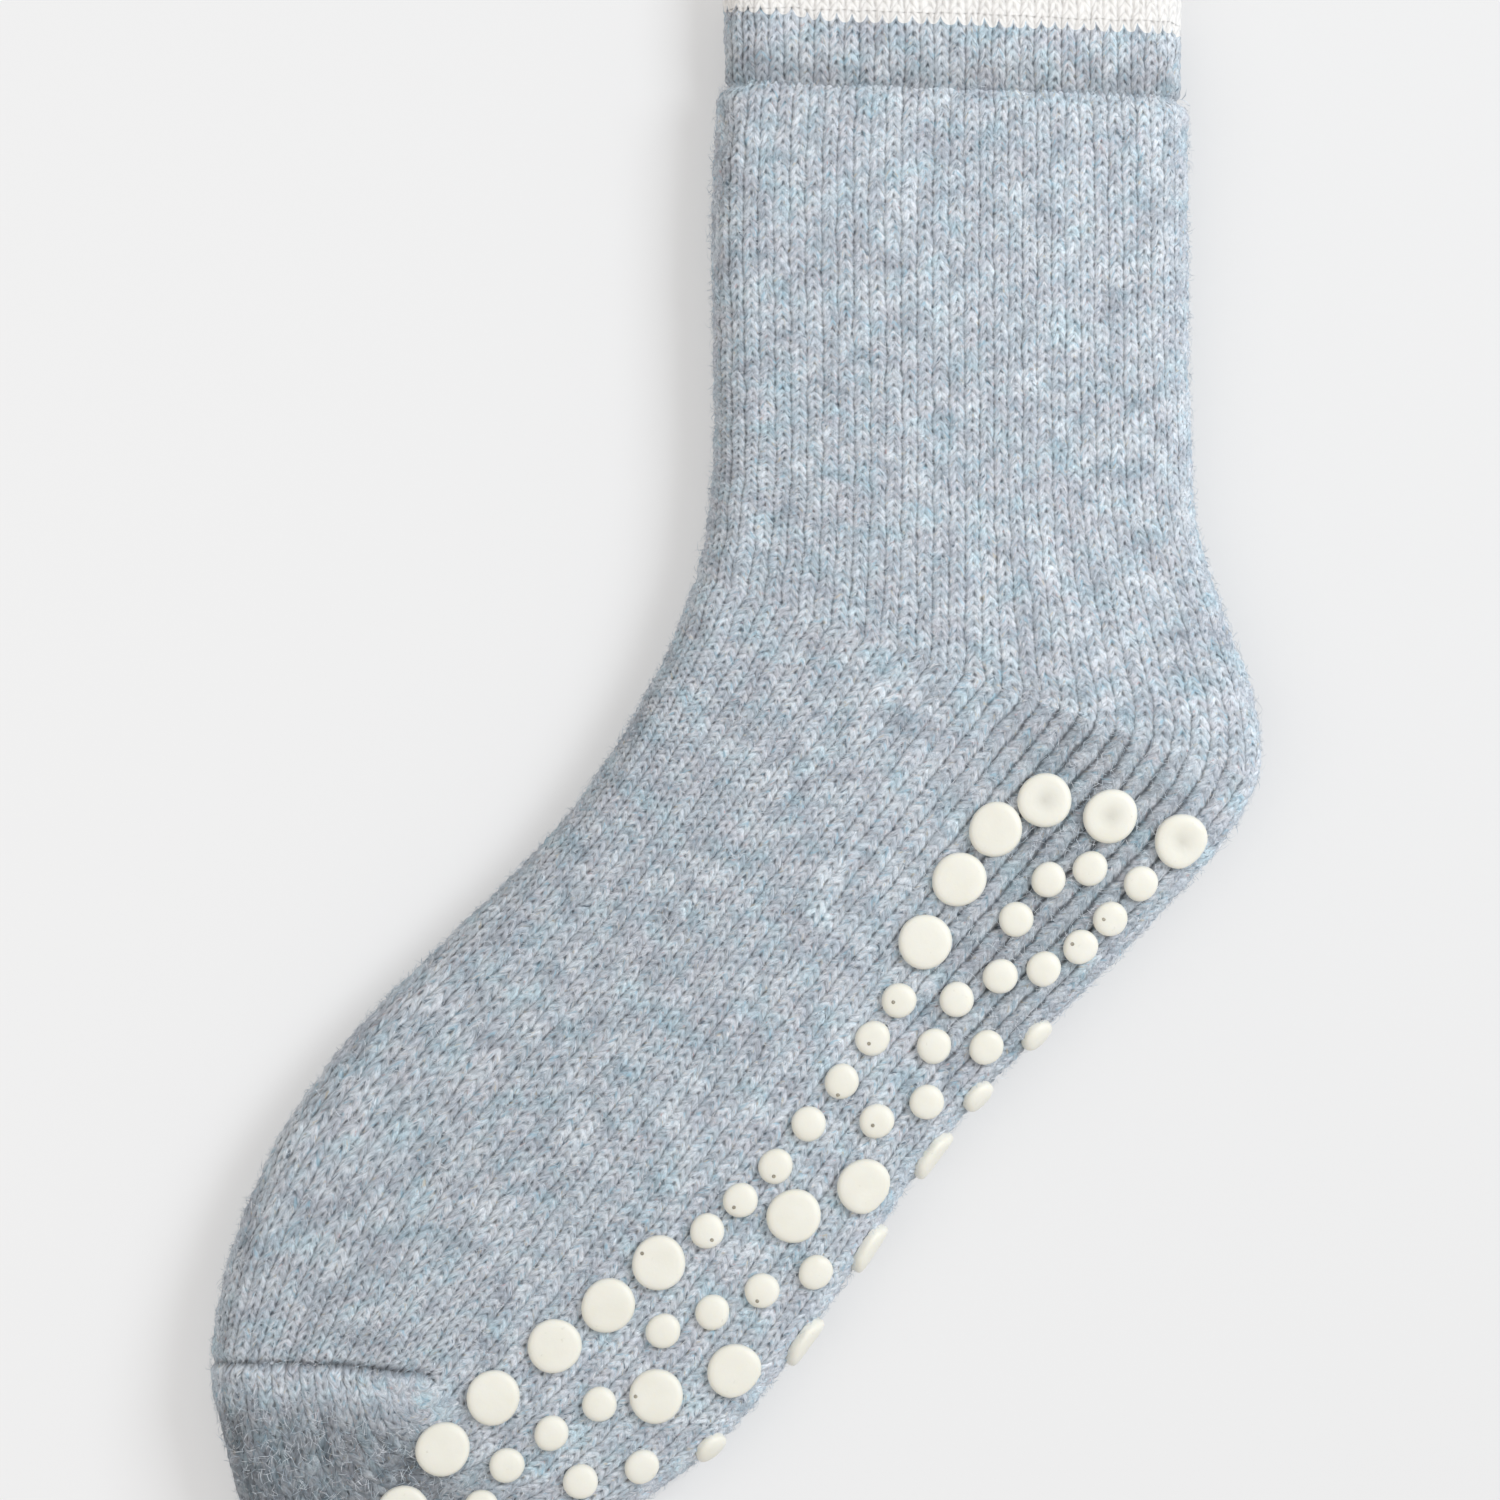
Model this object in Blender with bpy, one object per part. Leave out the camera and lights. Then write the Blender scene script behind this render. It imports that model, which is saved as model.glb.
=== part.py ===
# Knitted slipper sock, lying flat on its side, with moulded silicone grip dots on its sole.
# The plan is drawn from the apex of the heel gore: +Y runs up the leg, the toe points down to -X, and
# the sole's fold line is the edge on the +X side. +Z is up, and the sock rests on z = 0.
import math
from collections import namedtuple

import bpy
import bmesh
from mathutils import Vector
from mathutils.bvhtree import BVHTree

# Driving dimensions, in metres and degrees.
LEG_LENGTH = 0.1065
LEG_WIDTH = 0.0875
LEG_THICK = 0.0155
FOOT_RUN = 0.1598
FOOT_RUN_ANGLE = 232.6
FOOT_WIDTH = 0.0934
FOOT_THICK = 0.0165
COURSE_ANGLE = 40.0
HEEL_BULGE = 0.0029
HEEL_SWELL = 0.0015
TOE_BULGE = 0.0080
TOE_SWELL = 0.0020
WALL = 0.0024
EDGE_ROUND = 0.0080
WELT_WIDTH = 0.0828
WELT_THICK = 0.0145
WELT_WALL = 0.0034
WELT_BAND_HEIGHT = 0.0128
WELT_TIP_HEIGHT = 0.0130
COLLAR_SLOPE = 0.033
BIG_DOT = 0.0098
SMALL_DOT = 0.0062
DOT_HEIGHT = 0.0012
DOT_ROOT = 0.0008
GAP = 0.0003
MERGE = 0.000001

# Shape of the flattened section: where the side fold sits, how the top crowns inwards from it, the
# angles of its points round the fold for the solid and for the dots' seats, and those further in.
FOLD_LEVEL = 0.46
EDGE_CROWN = 0.93
CROWN_RUN = 0.030
EDGE_STEPS = (0.0, 18.0, 38.0, 62.0, 90.0)
SEAT_STEPS = tuple(range(0, 91, 6))
FLAT_STEPS = (0.42, 0.86, 1.0)

# Where the form changes along the sock, as shares: of LEG_LENGTH where the collar's slope sets in and
# is full and where the leg's thickness turns into the foot's, and of the width where heel and toe swell.
SLOPE_FROM = 0.45
SLOPE_FULL = 0.95
THICK_BLEND = 0.40
HEEL_SWELL_OUT = 0.36
HEEL_SWELL_REACH = 0.50
TOE_SWELL_OUT = 0.22
TOE_SWELL_REACH = 0.60
SOLE_LIFT_FADE = 0.10

# Leg, from the welt down to the heel gore. height is a share of LEG_LENGTH, lean of COURSE_ANGLE, and
# front and back are the reaches from the gore line to the two folds, as shares of LEG_WIDTH.
LegRow = namedtuple("LegRow", "height lean front back")
LEG = (
    LegRow(1.00, 0.00, 0.508, 0.464),
    LegRow(0.95, 0.00, 0.516, 0.470),
    LegRow(0.88, 0.00, 0.524, 0.471),
    LegRow(0.74, 0.00, 0.528, 0.472),
    LegRow(0.56, 0.03, 0.524, 0.474),
    LegRow(0.42, 0.15, 0.526, 0.478),
    LegRow(0.28, 0.30, 0.536, 0.487),
    LegRow(0.19, 0.40, 0.552, 0.512),
    LegRow(0.09, 0.47, 0.571, 0.554),
    LegRow(0.00, 0.50, 0.593, 0.594),
)

# Heel, turned about the gore from the last leg course to the first foot course. turn is a share of
# COURSE_ANGLE, bulge a share of HEEL_BULGE and lift of the room that the grip dots need below.
TurnRow = namedtuple("TurnRow", "turn bulge lift")
HEEL = (
    TurnRow(0.13, 0.36, 0.00),
    TurnRow(0.25, 0.69, 0.05),
    TurnRow(0.38, 0.92, 0.25),
    TurnRow(0.50, 1.00, 0.55),
    TurnRow(0.63, 0.82, 0.80),
    TurnRow(0.77, 0.50, 0.95),
    TurnRow(0.89, 0.22, 1.00),
)

# Foot, from the heel gore to the toe gore. along is a share of FOOT_RUN, lean of COURSE_ANGLE, and
# front and back are the reaches to the instep fold and the sole fold, as shares of FOOT_WIDTH.
FootRow = namedtuple("FootRow", "along lean front back")
FOOT = (
    FootRow(0.000, 0.50, 0.5555, 0.603),
    FootRow(0.070, 0.54, 0.521, 0.591),
    FootRow(0.150, 0.64, 0.492, 0.575),
    FootRow(0.240, 0.79, 0.469, 0.553),
    FootRow(0.330, 0.92, 0.454, 0.534),
    FootRow(0.420, 1.00, 0.452, 0.523),
    FootRow(0.510, 1.00, 0.466, 0.527),
    FootRow(0.600, 0.92, 0.492, 0.538),
    FootRow(0.690, 0.70, 0.529, 0.544),
    FootRow(0.780, 0.45, 0.548, 0.545),
    FootRow(0.860, 0.25, 0.532, 0.531),
    FootRow(0.930, 0.12, 0.492, 0.501),
    FootRow(1.000, 0.065, 0.4325, 0.464),
)

# Toe pocket, turned about the toe gore from the sole's last course round to the seam over the toes.
# turn is a share of the whole sweep and bulge a share of TOE_BULGE.
TOE = (
    TurnRow(0.07, -0.16, 1.00),
    TurnRow(0.14, -0.20, 1.00),
    TurnRow(0.21, -0.11, 1.00),
    TurnRow(0.28, 0.07, 1.00),
    TurnRow(0.34, 0.32, 1.00),
    TurnRow(0.40, 0.61, 1.00),
    TurnRow(0.46, 0.87, 1.00),
    TurnRow(0.52, 1.00, 1.00),
    TurnRow(0.58, 0.90, 0.70),
    TurnRow(0.64, 0.65, 0.30),
    TurnRow(0.71, 0.29, 0.00),
    TurnRow(0.78, 0.02, 0.00),
    TurnRow(0.86, -0.09, 0.00),
    TurnRow(0.93, -0.06, 0.00),
)

# Grip dots of one half of the sole, each printed on both halves. along is a share of FOOT_RUN from
# the heel gore, and out a share of FOOT_WIDTH from the gore line towards the sole's fold.
Dot = namedtuple("Dot", "along out")
BIG_DOTS = (
    Dot(-0.012, 0.530), Dot(0.018, 0.391), Dot(0.052, 0.271), Dot(0.113, 0.230), Dot(0.183, 0.233),
    Dot(0.262, 0.254), Dot(0.519, 0.448), Dot(0.596, 0.375), Dot(0.735, 0.222), Dot(0.809, 0.194),
    Dot(0.883, 0.159), Dot(0.972, 0.125), Dot(1.053, 0.108), Dot(1.137, 0.122), Dot(1.210, 0.168),
    Dot(0.774, 0.466), Dot(0.853, 0.375),
)
SMALL_DOTS = (
    Dot(0.054, 0.518), Dot(0.078, 0.422), Dot(0.107, 0.513), Dot(0.118, 0.371), Dot(0.153, 0.500),
    Dot(0.176, 0.368), Dot(0.199, 0.469), Dot(0.237, 0.411), Dot(0.289, 0.371), Dot(0.309, 0.473),
    Dot(0.332, 0.283), Dot(0.346, 0.391), Dot(0.384, 0.287), Dot(0.400, 0.446), Dot(0.444, 0.290),
    Dot(0.453, 0.391), Dot(0.505, 0.289), Dot(0.566, 0.288), Dot(0.621, 0.274), Dot(0.672, 0.259),
    Dot(0.629, 0.475), Dot(0.684, 0.414), Dot(0.739, 0.363), Dot(0.791, 0.309), Dot(0.901, 0.297),
    Dot(0.961, 0.257), Dot(1.021, 0.226), Dot(1.076, 0.236), Dot(0.925, 0.437), Dot(0.982, 0.359),
    Dot(1.138, 0.253), Dot(1.043, 0.351), Dot(1.109, 0.339),
)

# Dots printed on the sole's centreline, which is the fold itself, as shares of FOOT_RUN.
BIG_FOLD_DOTS = (0.460, 0.575, 0.700)
SMALL_FOLD_DOTS = (0.262, 0.358, 0.860)

# One dot's profile, from inside its foot to its crown: out is a share of its radius, up of DOT_HEIGHT.
DotRing = namedtuple("DotRing", "out up")
DOT_PROFILE = (DotRing(0.50, 0.00), DotRing(1.00, 0.00), DotRing(0.95, 0.55), DotRing(0.66, 1.00))
BIG_DOT_SIDES = 10
SMALL_DOT_SIDES = 8


def smooth(share):
    share = min(max(share, 0.0), 1.0)
    return share * share * (3.0 - 2.0 * share)


def direction(degrees):
    angle = math.radians(degrees)
    return Vector((math.cos(angle), math.sin(angle)))


TOE_GORE = direction(FOOT_RUN_ANGLE) * FOOT_RUN
HEEL_CENTRE = direction(-COURSE_ANGLE / 2.0) * (LEG_WIDTH * HEEL_SWELL_OUT)
TOE_CENTRE = TOE_GORE + direction(FOOT_RUN_ANGLE) * (FOOT_WIDTH * TOE_SWELL_OUT)
FRONT = 180.0
SOLE = -COURSE_ANGLE
SOLE_LIFT = DOT_HEIGHT + GAP


def leg_front(row):
    return direction(FRONT - row.lean * COURSE_ANGLE) * (row.front * LEG_WIDTH)


def foot_front(row):
    return direction(FRONT - row.lean * COURSE_ANGLE) * (row.front * FOOT_WIDTH)


# One course line of the plan: from its middle on the gore line out to its fold, with the share of the
# lift that the grip dots need under it.
Course = namedtuple("Course", "middle fold lift")


def leg_courses():
    front = []
    back = []
    for row in LEG:
        middle = Vector((0.0, row.height * LEG_LENGTH))
        tilt = COLLAR_SLOPE * smooth((row.height - SLOPE_FROM) / (SLOPE_FULL - SLOPE_FROM))
        ends = []
        for reach in (leg_front(row), Vector((row.back * LEG_WIDTH, 0.0))):
            ends.append(middle + reach - Vector((0.0, reach.x * tilt)))
        front.append(Course(middle, ends[0], 0.0))
        back.append(Course(middle, ends[1], 0.0))
    return front, back


def heel_courses():
    first = LEG[-1].back * LEG_WIDTH
    last = FOOT[0].back * FOOT_WIDTH
    courses = []
    for row in HEEL:
        reach = first + (last - first) * row.turn + HEEL_BULGE * row.bulge
        courses.append(Course(Vector((0.0, 0.0)), direction(SOLE * row.turn) * reach, row.lift))
    return courses


def foot_courses():
    front = []
    back = []
    for row in FOOT:
        middle = TOE_GORE * row.along
        front.append(Course(middle, middle + foot_front(row), 0.0))
        back.append(Course(middle, middle + direction(SOLE) * (row.back * FOOT_WIDTH), 1.0))
    return front, back


def toe_courses():
    first = FOOT[-1].back * FOOT_WIDTH
    last = FOOT[-1].front * FOOT_WIDTH
    sweep = FRONT - COURSE_ANGLE * (1.0 - FOOT[-1].lean)
    courses = []
    for row in TOE:
        reach = first + (last - first) * row.turn + TOE_BULGE * row.bulge
        fold = TOE_GORE + direction(SOLE - sweep * row.turn) * reach
        courses.append(Course(TOE_GORE, fold, row.lift))
    courses.append(Course(TOE_GORE, TOE_GORE + foot_front(FOOT[-1]), 0.0))
    return courses


def thickness(point):
    blend = LEG_LENGTH * THICK_BLEND
    foot = smooth((blend - point.y) / (blend * 2.0))
    heel = smooth(1.0 - (point - HEEL_CENTRE).length / (LEG_WIDTH * HEEL_SWELL_REACH))
    toe = smooth(1.0 - (point - TOE_CENTRE).length / (FOOT_WIDTH * TOE_SWELL_REACH))
    return LEG_THICK + (FOOT_THICK - LEG_THICK) * foot + HEEL_SWELL * heel + TOE_SWELL * toe


def section_half(course, thick, steps, upper):
    """Points of one course's upper or lower half, from its fold to its middle."""
    inwards = course.middle - course.fold
    reach = inwards.length
    inwards = inwards / reach
    spots = []
    for step in steps:
        angle = math.radians(step)
        spots.append((EDGE_ROUND * (1.0 - math.cos(angle)), math.sin(angle)))
    for step in FLAT_STEPS:
        spots.append((EDGE_ROUND + (reach - EDGE_ROUND) * step, 1.0))
    points = []
    for inset, rise in spots:
        plan = course.fold + inwards * inset
        top = thick(plan)
        under = SOLE_LIFT * course.lift * smooth((1.0 - inset / reach) / SOLE_LIFT_FADE)
        level = under + FOLD_LEVEL * (top - under)
        if upper:
            crown = smooth((inset - EDGE_ROUND) / min(CROWN_RUN, reach - EDGE_ROUND))
            height = level + (top - level) * rise * (EDGE_CROWN + (1.0 - EDGE_CROWN) * crown)
        else:
            height = level - (level - under) * rise
        points.append(Vector((plan.x, plan.y, height)))
    return points


def add_strip(mesh, courses, thick, steps):
    """One strip of knitting: a ring of points for each course, from the upper middle round the fold."""
    rows = []
    for course in courses:
        upper = section_half(course, thick, steps, True)
        lower = section_half(course, thick, steps, False)
        rows.append([mesh.verts.new(point) for point in upper[::-1] + lower[1:]])
    for near, far in zip(rows[:-1], rows[1:]):
        for index in range(len(near) - 1):
            mesh.faces.new((near[index], near[index + 1], far[index + 1], far[index]))


def tube_mesh(front, back, thick, steps):
    mesh = bmesh.new()
    add_strip(mesh, front, thick, steps)
    add_strip(mesh, back[::-1], thick, steps)
    bmesh.ops.remove_doubles(mesh, verts=mesh.verts, dist=MERGE)
    return mesh


def tube_object(name, front, back, thick, wall, material):
    mesh = tube_mesh(front, back, thick, EDGE_STEPS)
    data = bpy.data.meshes.new(name)
    mesh.to_mesh(data)
    mesh.free()
    data.shade_smooth()
    data.materials.append(material)
    tube = bpy.data.objects.new(name, data)
    bpy.context.scene.collection.objects.link(tube)
    solid = tube.modifiers.new("wall", "SOLIDIFY")
    solid.thickness = wall
    solid.offset = -1.0
    solid.use_even_offset = True
    return tube


def welt_ring(name, bottom, top, material):
    """A band of the doubled welt, between two heights over the heel gore."""
    share = WELT_WIDTH / LEG_WIDTH
    rings = ([], [])
    for height in (top, bottom):
        middle = Vector((0.0, height))
        for ring, reach in zip(rings, (-LEG[0].front, LEG[0].back)):
            out = reach * LEG_WIDTH * share / (LEG[0].front + LEG[0].back)
            ring.append(Course(middle, middle + Vector((out, -out * COLLAR_SLOPE)), 0.0))
    return tube_object(name, rings[0], rings[1], lambda point: WELT_THICK, WELT_WALL, material)


def dot_seat(surface, dot, upper):
    """The point and outward direction on the sock's surface over or under one dot of the chart."""
    plan = TOE_GORE * dot.along + direction(SOLE) * (dot.out * FOOT_WIDTH)
    start = Vector((plan.x, plan.y, thickness(plan) * 2.0 if upper else -thickness(plan)))
    ray = Vector((0.0, 0.0, -1.0 if upper else 1.0))
    seat, normal, face, distance = surface.ray_cast(start, ray)
    return seat, normal


def fold_seat(surface, along):
    """The same for a dot on the fold itself, the sole's centreline."""
    reach = FOOT[-1].back
    for near, far in zip(FOOT[:-1], FOOT[1:]):
        if near.along <= along <= far.along:
            share = (along - near.along) / (far.along - near.along)
            reach = near.back + (far.back - near.back) * share
    plan = TOE_GORE * along + direction(SOLE) * (reach * FOOT_WIDTH)
    middle = Vector((plan.x, plan.y, FOLD_LEVEL * thickness(plan)))
    seat, normal, face, distance = surface.find_nearest(middle)
    return seat, normal


def dot_mesh(mesh, surface, seat, normal, radius, sides, sink):
    """One dot whose foot follows the surface, GAP clear of it, or rooted in it by sink."""
    side = normal.orthogonal().normalized()
    across = normal.cross(side)
    base = -sink if sink else GAP
    rings = []
    for ring in DOT_PROFILE:
        verts = []
        height = base if ring.up == 0.0 else GAP + ring.up * DOT_HEIGHT
        for index in range(sides):
            angle = 2.0 * math.pi * index / sides
            out = side * math.cos(angle) + across * math.sin(angle)
            spot, away, face, distance = surface.find_nearest(seat + out * radius * ring.out)
            verts.append(mesh.verts.new(spot + away * height))
        rings.append(verts)
    for low, high in zip(rings[:-1], rings[1:]):
        for index in range(sides):
            after = (index + 1) % sides
            mesh.faces.new((low[index], low[after], high[after], high[index]))
    crown = mesh.verts.new(seat + normal * (GAP + DOT_HEIGHT))
    foot = mesh.verts.new(seat + normal * base)
    for index in range(sides):
        after = (index + 1) % sides
        mesh.faces.new((rings[-1][index], rings[-1][after], crown))
        mesh.faces.new((rings[0][after], rings[0][index], foot))


def mesh_object(name, mesh, material):
    bmesh.ops.recalc_face_normals(mesh, faces=mesh.faces)
    data = bpy.data.meshes.new(name)
    mesh.to_mesh(data)
    mesh.free()
    data.materials.append(material)
    piece = bpy.data.objects.new(name, data)
    bpy.context.scene.collection.objects.link(piece)
    return piece


def plain_material(name, colour, roughness):
    finish = bpy.data.materials.new(name)
    finish.use_nodes = True
    shader = finish.node_tree.nodes["Principled BSDF"]
    shader.inputs["Base Color"].default_value = colour
    shader.inputs["Roughness"].default_value = roughness
    shader.inputs["Metallic"].default_value = 0.0
    return finish


def dot_seats(surface, chart, fold_chart):
    seats = []
    for upper in (True, False):
        for dot in chart:
            seats.append(dot_seat(surface, dot, upper))
    for along in fold_chart:
        seats.append(fold_seat(surface, along))
    return seats


for old in list(bpy.data.objects):
    bpy.data.objects.remove(old, do_unlink=True)

blue_knit = plain_material("blue_marl_knit", (0.49, 0.54, 0.59, 1.0), 0.95)
cream_knit = plain_material("cream_knit", (0.87, 0.86, 0.82, 1.0), 0.95)
silicone = plain_material("cream_silicone", (0.82, 0.80, 0.72, 1.0), 0.45)

# The sock itself: leg, heel, foot and toe are knitted in one piece.
leg_front_half, leg_back_half = leg_courses()
foot_front_half, foot_back_half = foot_courses()
front_strip = leg_front_half + foot_front_half[1:]
back_strip = leg_back_half + heel_courses() + foot_back_half + toe_courses()
sock = tube_object("sock_body", front_strip, back_strip, thickness, WALL, blue_knit)

# The doubled welt above it: a blue band, and the cream tip at the collar.
band_bottom = LEG_LENGTH + GAP
band_top = band_bottom + WELT_BAND_HEIGHT
tip_bottom = band_top + GAP
welt_band = welt_ring("welt_band", band_bottom, band_top, blue_knit)
welt_tip = welt_ring("welt_tip", tip_bottom, tip_bottom + WELT_TIP_HEIGHT, cream_knit)

# The sock's outer skin, drawn finer than its solid, carries the dots.
skin = BVHTree.FromBMesh(tube_mesh(front_strip, back_strip, thickness, SEAT_STEPS))
pieces = [sock, welt_band, welt_tip]
for number, (seat, normal) in enumerate(dot_seats(skin, BIG_DOTS, BIG_FOLD_DOTS), 1):
    dot = bmesh.new()
    dot_mesh(dot, skin, seat, normal, BIG_DOT / 2.0, BIG_DOT_SIDES, 0.0)
    pieces.append(mesh_object("grip_dot_%02d" % number, dot, silicone))

# The small dots are too many for nodes of their own, so they are fused to the sock.
printed = bmesh.new()
for seat, normal in dot_seats(skin, SMALL_DOTS, SMALL_FOLD_DOTS):
    dot_mesh(printed, skin, seat, normal, SMALL_DOT / 2.0, SMALL_DOT_SIDES, DOT_ROOT)
small_dots = mesh_object("small_dots", printed, silicone)
small_dots.hide_render = True
small_dots.display_type = "WIRE"
fuse = sock.modifiers.new("small dots", "BOOLEAN")
fuse.operation = "UNION"
fuse.solver = "EXACT"
fuse.object = small_dots

# The whole sock is placed with the middle of its plan over the origin.
corners = [vertex.co for piece in pieces for vertex in piece.data.vertices]
centre_x = (min(corner.x for corner in corners) + max(corner.x for corner in corners)) / 2.0
centre_y = (min(corner.y for corner in corners) + max(corner.y for corner in corners)) / 2.0
floor = bpy.data.objects.new("sock_on_floor", None)
floor.location = (-centre_x, -centre_y, 0.0)
bpy.context.scene.collection.objects.link(floor)
for piece in pieces + [small_dots]:
    piece.parent = floor
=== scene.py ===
import math
from functools import partial

import bmesh
import bpy
import numpy as np
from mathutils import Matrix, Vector
from mathutils.bvhtree import BVHTree


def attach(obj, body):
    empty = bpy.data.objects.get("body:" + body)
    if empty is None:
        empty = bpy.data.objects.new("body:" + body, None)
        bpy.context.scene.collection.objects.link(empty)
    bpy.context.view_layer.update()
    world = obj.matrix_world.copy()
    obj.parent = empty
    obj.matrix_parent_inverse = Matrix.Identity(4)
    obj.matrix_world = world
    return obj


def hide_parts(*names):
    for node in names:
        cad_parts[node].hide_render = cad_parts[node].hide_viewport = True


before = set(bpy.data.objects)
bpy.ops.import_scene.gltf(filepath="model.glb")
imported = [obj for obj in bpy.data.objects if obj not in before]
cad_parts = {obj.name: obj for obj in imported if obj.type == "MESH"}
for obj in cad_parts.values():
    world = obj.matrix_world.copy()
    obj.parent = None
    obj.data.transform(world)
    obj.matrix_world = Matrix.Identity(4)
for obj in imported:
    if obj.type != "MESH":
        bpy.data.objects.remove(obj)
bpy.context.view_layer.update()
bpy.ops.object.select_all(action="DESELECT")


# Leg: the straight shaft of the sock, knitted round in pale blue marl yarn from the welt down to the heel.
# Leg, foot and toe are one tube, which lies flat on its side, so the whole tube is laid out here, in metres
# from the apex of the heel gore: a front strip round the instep's fold, and a back strip round the sole's.
LEG_LENGTH = 0.1065
LEG_WIDTH = 0.0875
LEG_THICK = 0.0155
FOOT_RUN = 0.1598
FOOT_RUN_ANGLE = 232.6
FOOT_WIDTH = 0.0934
FOOT_THICK = 0.0165
COURSE_ANGLE = 40.0
EDGE_ROUND = 0.0080
FOLD_LEVEL = 0.46
HEEL_FULL = 0.10
EDGE_CROWN = 0.93
CROWN_RUN = 0.030
COLLAR_SLOPE = 0.033
SOLE_LIFT = 0.0015
SOLE_LIFT_FADE = 0.10
HEEL_SWELL = 0.0015
TOE_SWELL = 0.0020
GORE = np.array((0.041544, 0.019881))

# The reaches and bulges in these tables weren't chosen by hand: scratch programs measured the outline in
# the photo and printed them, and a few were then smoothed by hand.
# Leg by height: lean of the course lines, and reaches to the front and back folds.
LEG_AT = (1.00, 0.95, 0.88, 0.74, 0.56, 0.42, 0.28, 0.19, 0.09, 0.00)
LEG_LEAN = (0.00, 0.00, 0.00, 0.00, 0.03, 0.15, 0.30, 0.40, 0.47, 0.50)
LEG_FRONT = (0.508, 0.516, 0.524, 0.528, 0.524, 0.526, 0.536, 0.552, 0.571, 0.593)
LEG_BACK = (0.464, 0.470, 0.471, 0.472, 0.474, 0.478, 0.487, 0.512, 0.554, 0.594)

# Heel by turn: how far it stands out beyond the two reaches that it joins, and the sole's lift.
HEEL_AT = (0.13, 0.25, 0.38, 0.50, 0.63, 0.77, 0.89)
HEEL_OUT = (0.00104, 0.00200, 0.00267, 0.00290, 0.00238, 0.00145, 0.00064)
HEEL_LIFT = (0.00, 0.05, 0.25, 0.55, 0.80, 0.95, 1.00)

# Foot by the way along it: lean, and reaches to the instep's fold and the sole's.
FOOT_AT = (0.000, 0.070, 0.150, 0.240, 0.330, 0.420, 0.510, 0.600, 0.690, 0.780, 0.860, 0.930, 1.000)
FOOT_LEAN = (0.50, 0.54, 0.64, 0.79, 0.92, 1.00, 1.00, 0.92, 0.70, 0.45, 0.25, 0.12, 0.065)
FOOT_FRONT = (0.5555, 0.521, 0.492, 0.469, 0.454, 0.452, 0.466, 0.492, 0.529, 0.548, 0.532, 0.492, 0.4325)
FOOT_BACK = (0.603, 0.591, 0.575, 0.553, 0.534, 0.523, 0.527, 0.538, 0.544, 0.545, 0.531, 0.501, 0.464)

# Toe by turn, from the sole's last course round to the seam over the toes.
TOE_AT = (0.07, 0.14, 0.21, 0.28, 0.34, 0.40, 0.46, 0.52, 0.58, 0.64, 0.71, 0.78, 0.86, 0.93)
TOE_OUT = (-0.16, -0.20, -0.11, 0.07, 0.32, 0.61, 0.87, 1.00, 0.90, 0.65, 0.29, 0.02, -0.09, -0.06)
TOE_LIFT = (1.0, 1.0, 1.0, 1.0, 1.0, 1.0, 1.0, 1.0, 0.70, 0.30, 0.0, 0.0, 0.0, 0.0)
TOE_BULGE = 0.0080

# The knitting: 70 wales round, so 17.5 from each gore line to a fold, and the courses of each part.
HALF_WALES = 17.5
LEG_COURSES = 58
FOOT_COURSES = 84
COURSE = LEG_LENGTH / LEG_COURSES
TOE_SWEEP = 180.0 - COURSE_ANGLE * (1.0 - FOOT_LEAN[-1])
HEEL_ROWS = 100
TOE_ROWS = 228
STITCH_ROWS = 4
STITCH_COLUMNS = 4


def ease(share):
    share = np.clip(share, 0.0, 1.0)
    return share * share * (3.0 - 2.0 * share)


def toward(degrees):
    angle = np.radians(np.asarray(degrees, float))
    return np.stack((np.cos(angle), np.sin(angle)), -1)


def spline(at, values, where):
    """A smooth curve through the points of a table."""
    at, values, where = (np.asarray(each, float) for each in (at, values, where))
    slope = np.gradient(values, at)
    near = np.clip(np.searchsorted(at, where, side="right") - 1, 0, len(at) - 2)
    span = at[near + 1] - at[near]
    t = (where - at[near]) / span
    start = (2 * t ** 3 - 3 * t ** 2 + 1) * values[near] + (t ** 3 - 2 * t ** 2 + t) * span * slope[near]
    return start + (3 * t ** 2 - 2 * t ** 3) * values[near + 1] + (t ** 3 - t ** 2) * span * slope[near + 1]


TOE_GORE = toward(FOOT_RUN_ANGLE) * FOOT_RUN
HEEL_SPAN = math.radians(COURSE_ANGLE) * LEG_WIDTH * 0.62
TOE_SPAN = math.radians(TOE_SWEEP) * FOOT_WIDTH * 0.46

# Each strip is one smooth run of course lines, measured down its gore line and round its fans.
leg_at = (1.0 - np.array(LEG_AT)) * LEG_LENGTH
heel_from = LEG_LENGTH
foot_from = heel_from + HEEL_SPAN
toe_from = foot_from + FOOT_RUN
first_heel, last_heel = LEG_BACK[-1] * LEG_WIDTH, FOOT_BACK[0] * FOOT_WIDTH
heel_reach = first_heel + (last_heel - first_heel) * np.array(HEEL_AT) + np.array(HEEL_OUT)
first_reach, last_reach = FOOT_BACK[-1] * FOOT_WIDTH, FOOT_FRONT[-1] * FOOT_WIDTH
toe_reach = first_reach + (last_reach - first_reach) * np.array(TOE_AT) + TOE_BULGE * np.array(TOE_OUT)
back_at = np.concatenate((leg_at, heel_from + np.array(HEEL_AT) * HEEL_SPAN,
                          foot_from + np.array(FOOT_AT) * FOOT_RUN,
                          toe_from + np.array(TOE_AT) * TOE_SPAN, (toe_from + TOE_SPAN,)))
back_reach = np.concatenate((np.array(LEG_BACK) * LEG_WIDTH, heel_reach,
                             np.array(FOOT_BACK) * FOOT_WIDTH, toe_reach, (last_reach,)))
back_lift = np.concatenate((np.zeros(len(LEG_AT)), HEEL_LIFT, np.ones(len(FOOT_AT)), TOE_LIFT, (0.0,)))
front_at = np.concatenate((leg_at, LEG_LENGTH + np.array(FOOT_AT[1:]) * FOOT_RUN))
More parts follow.
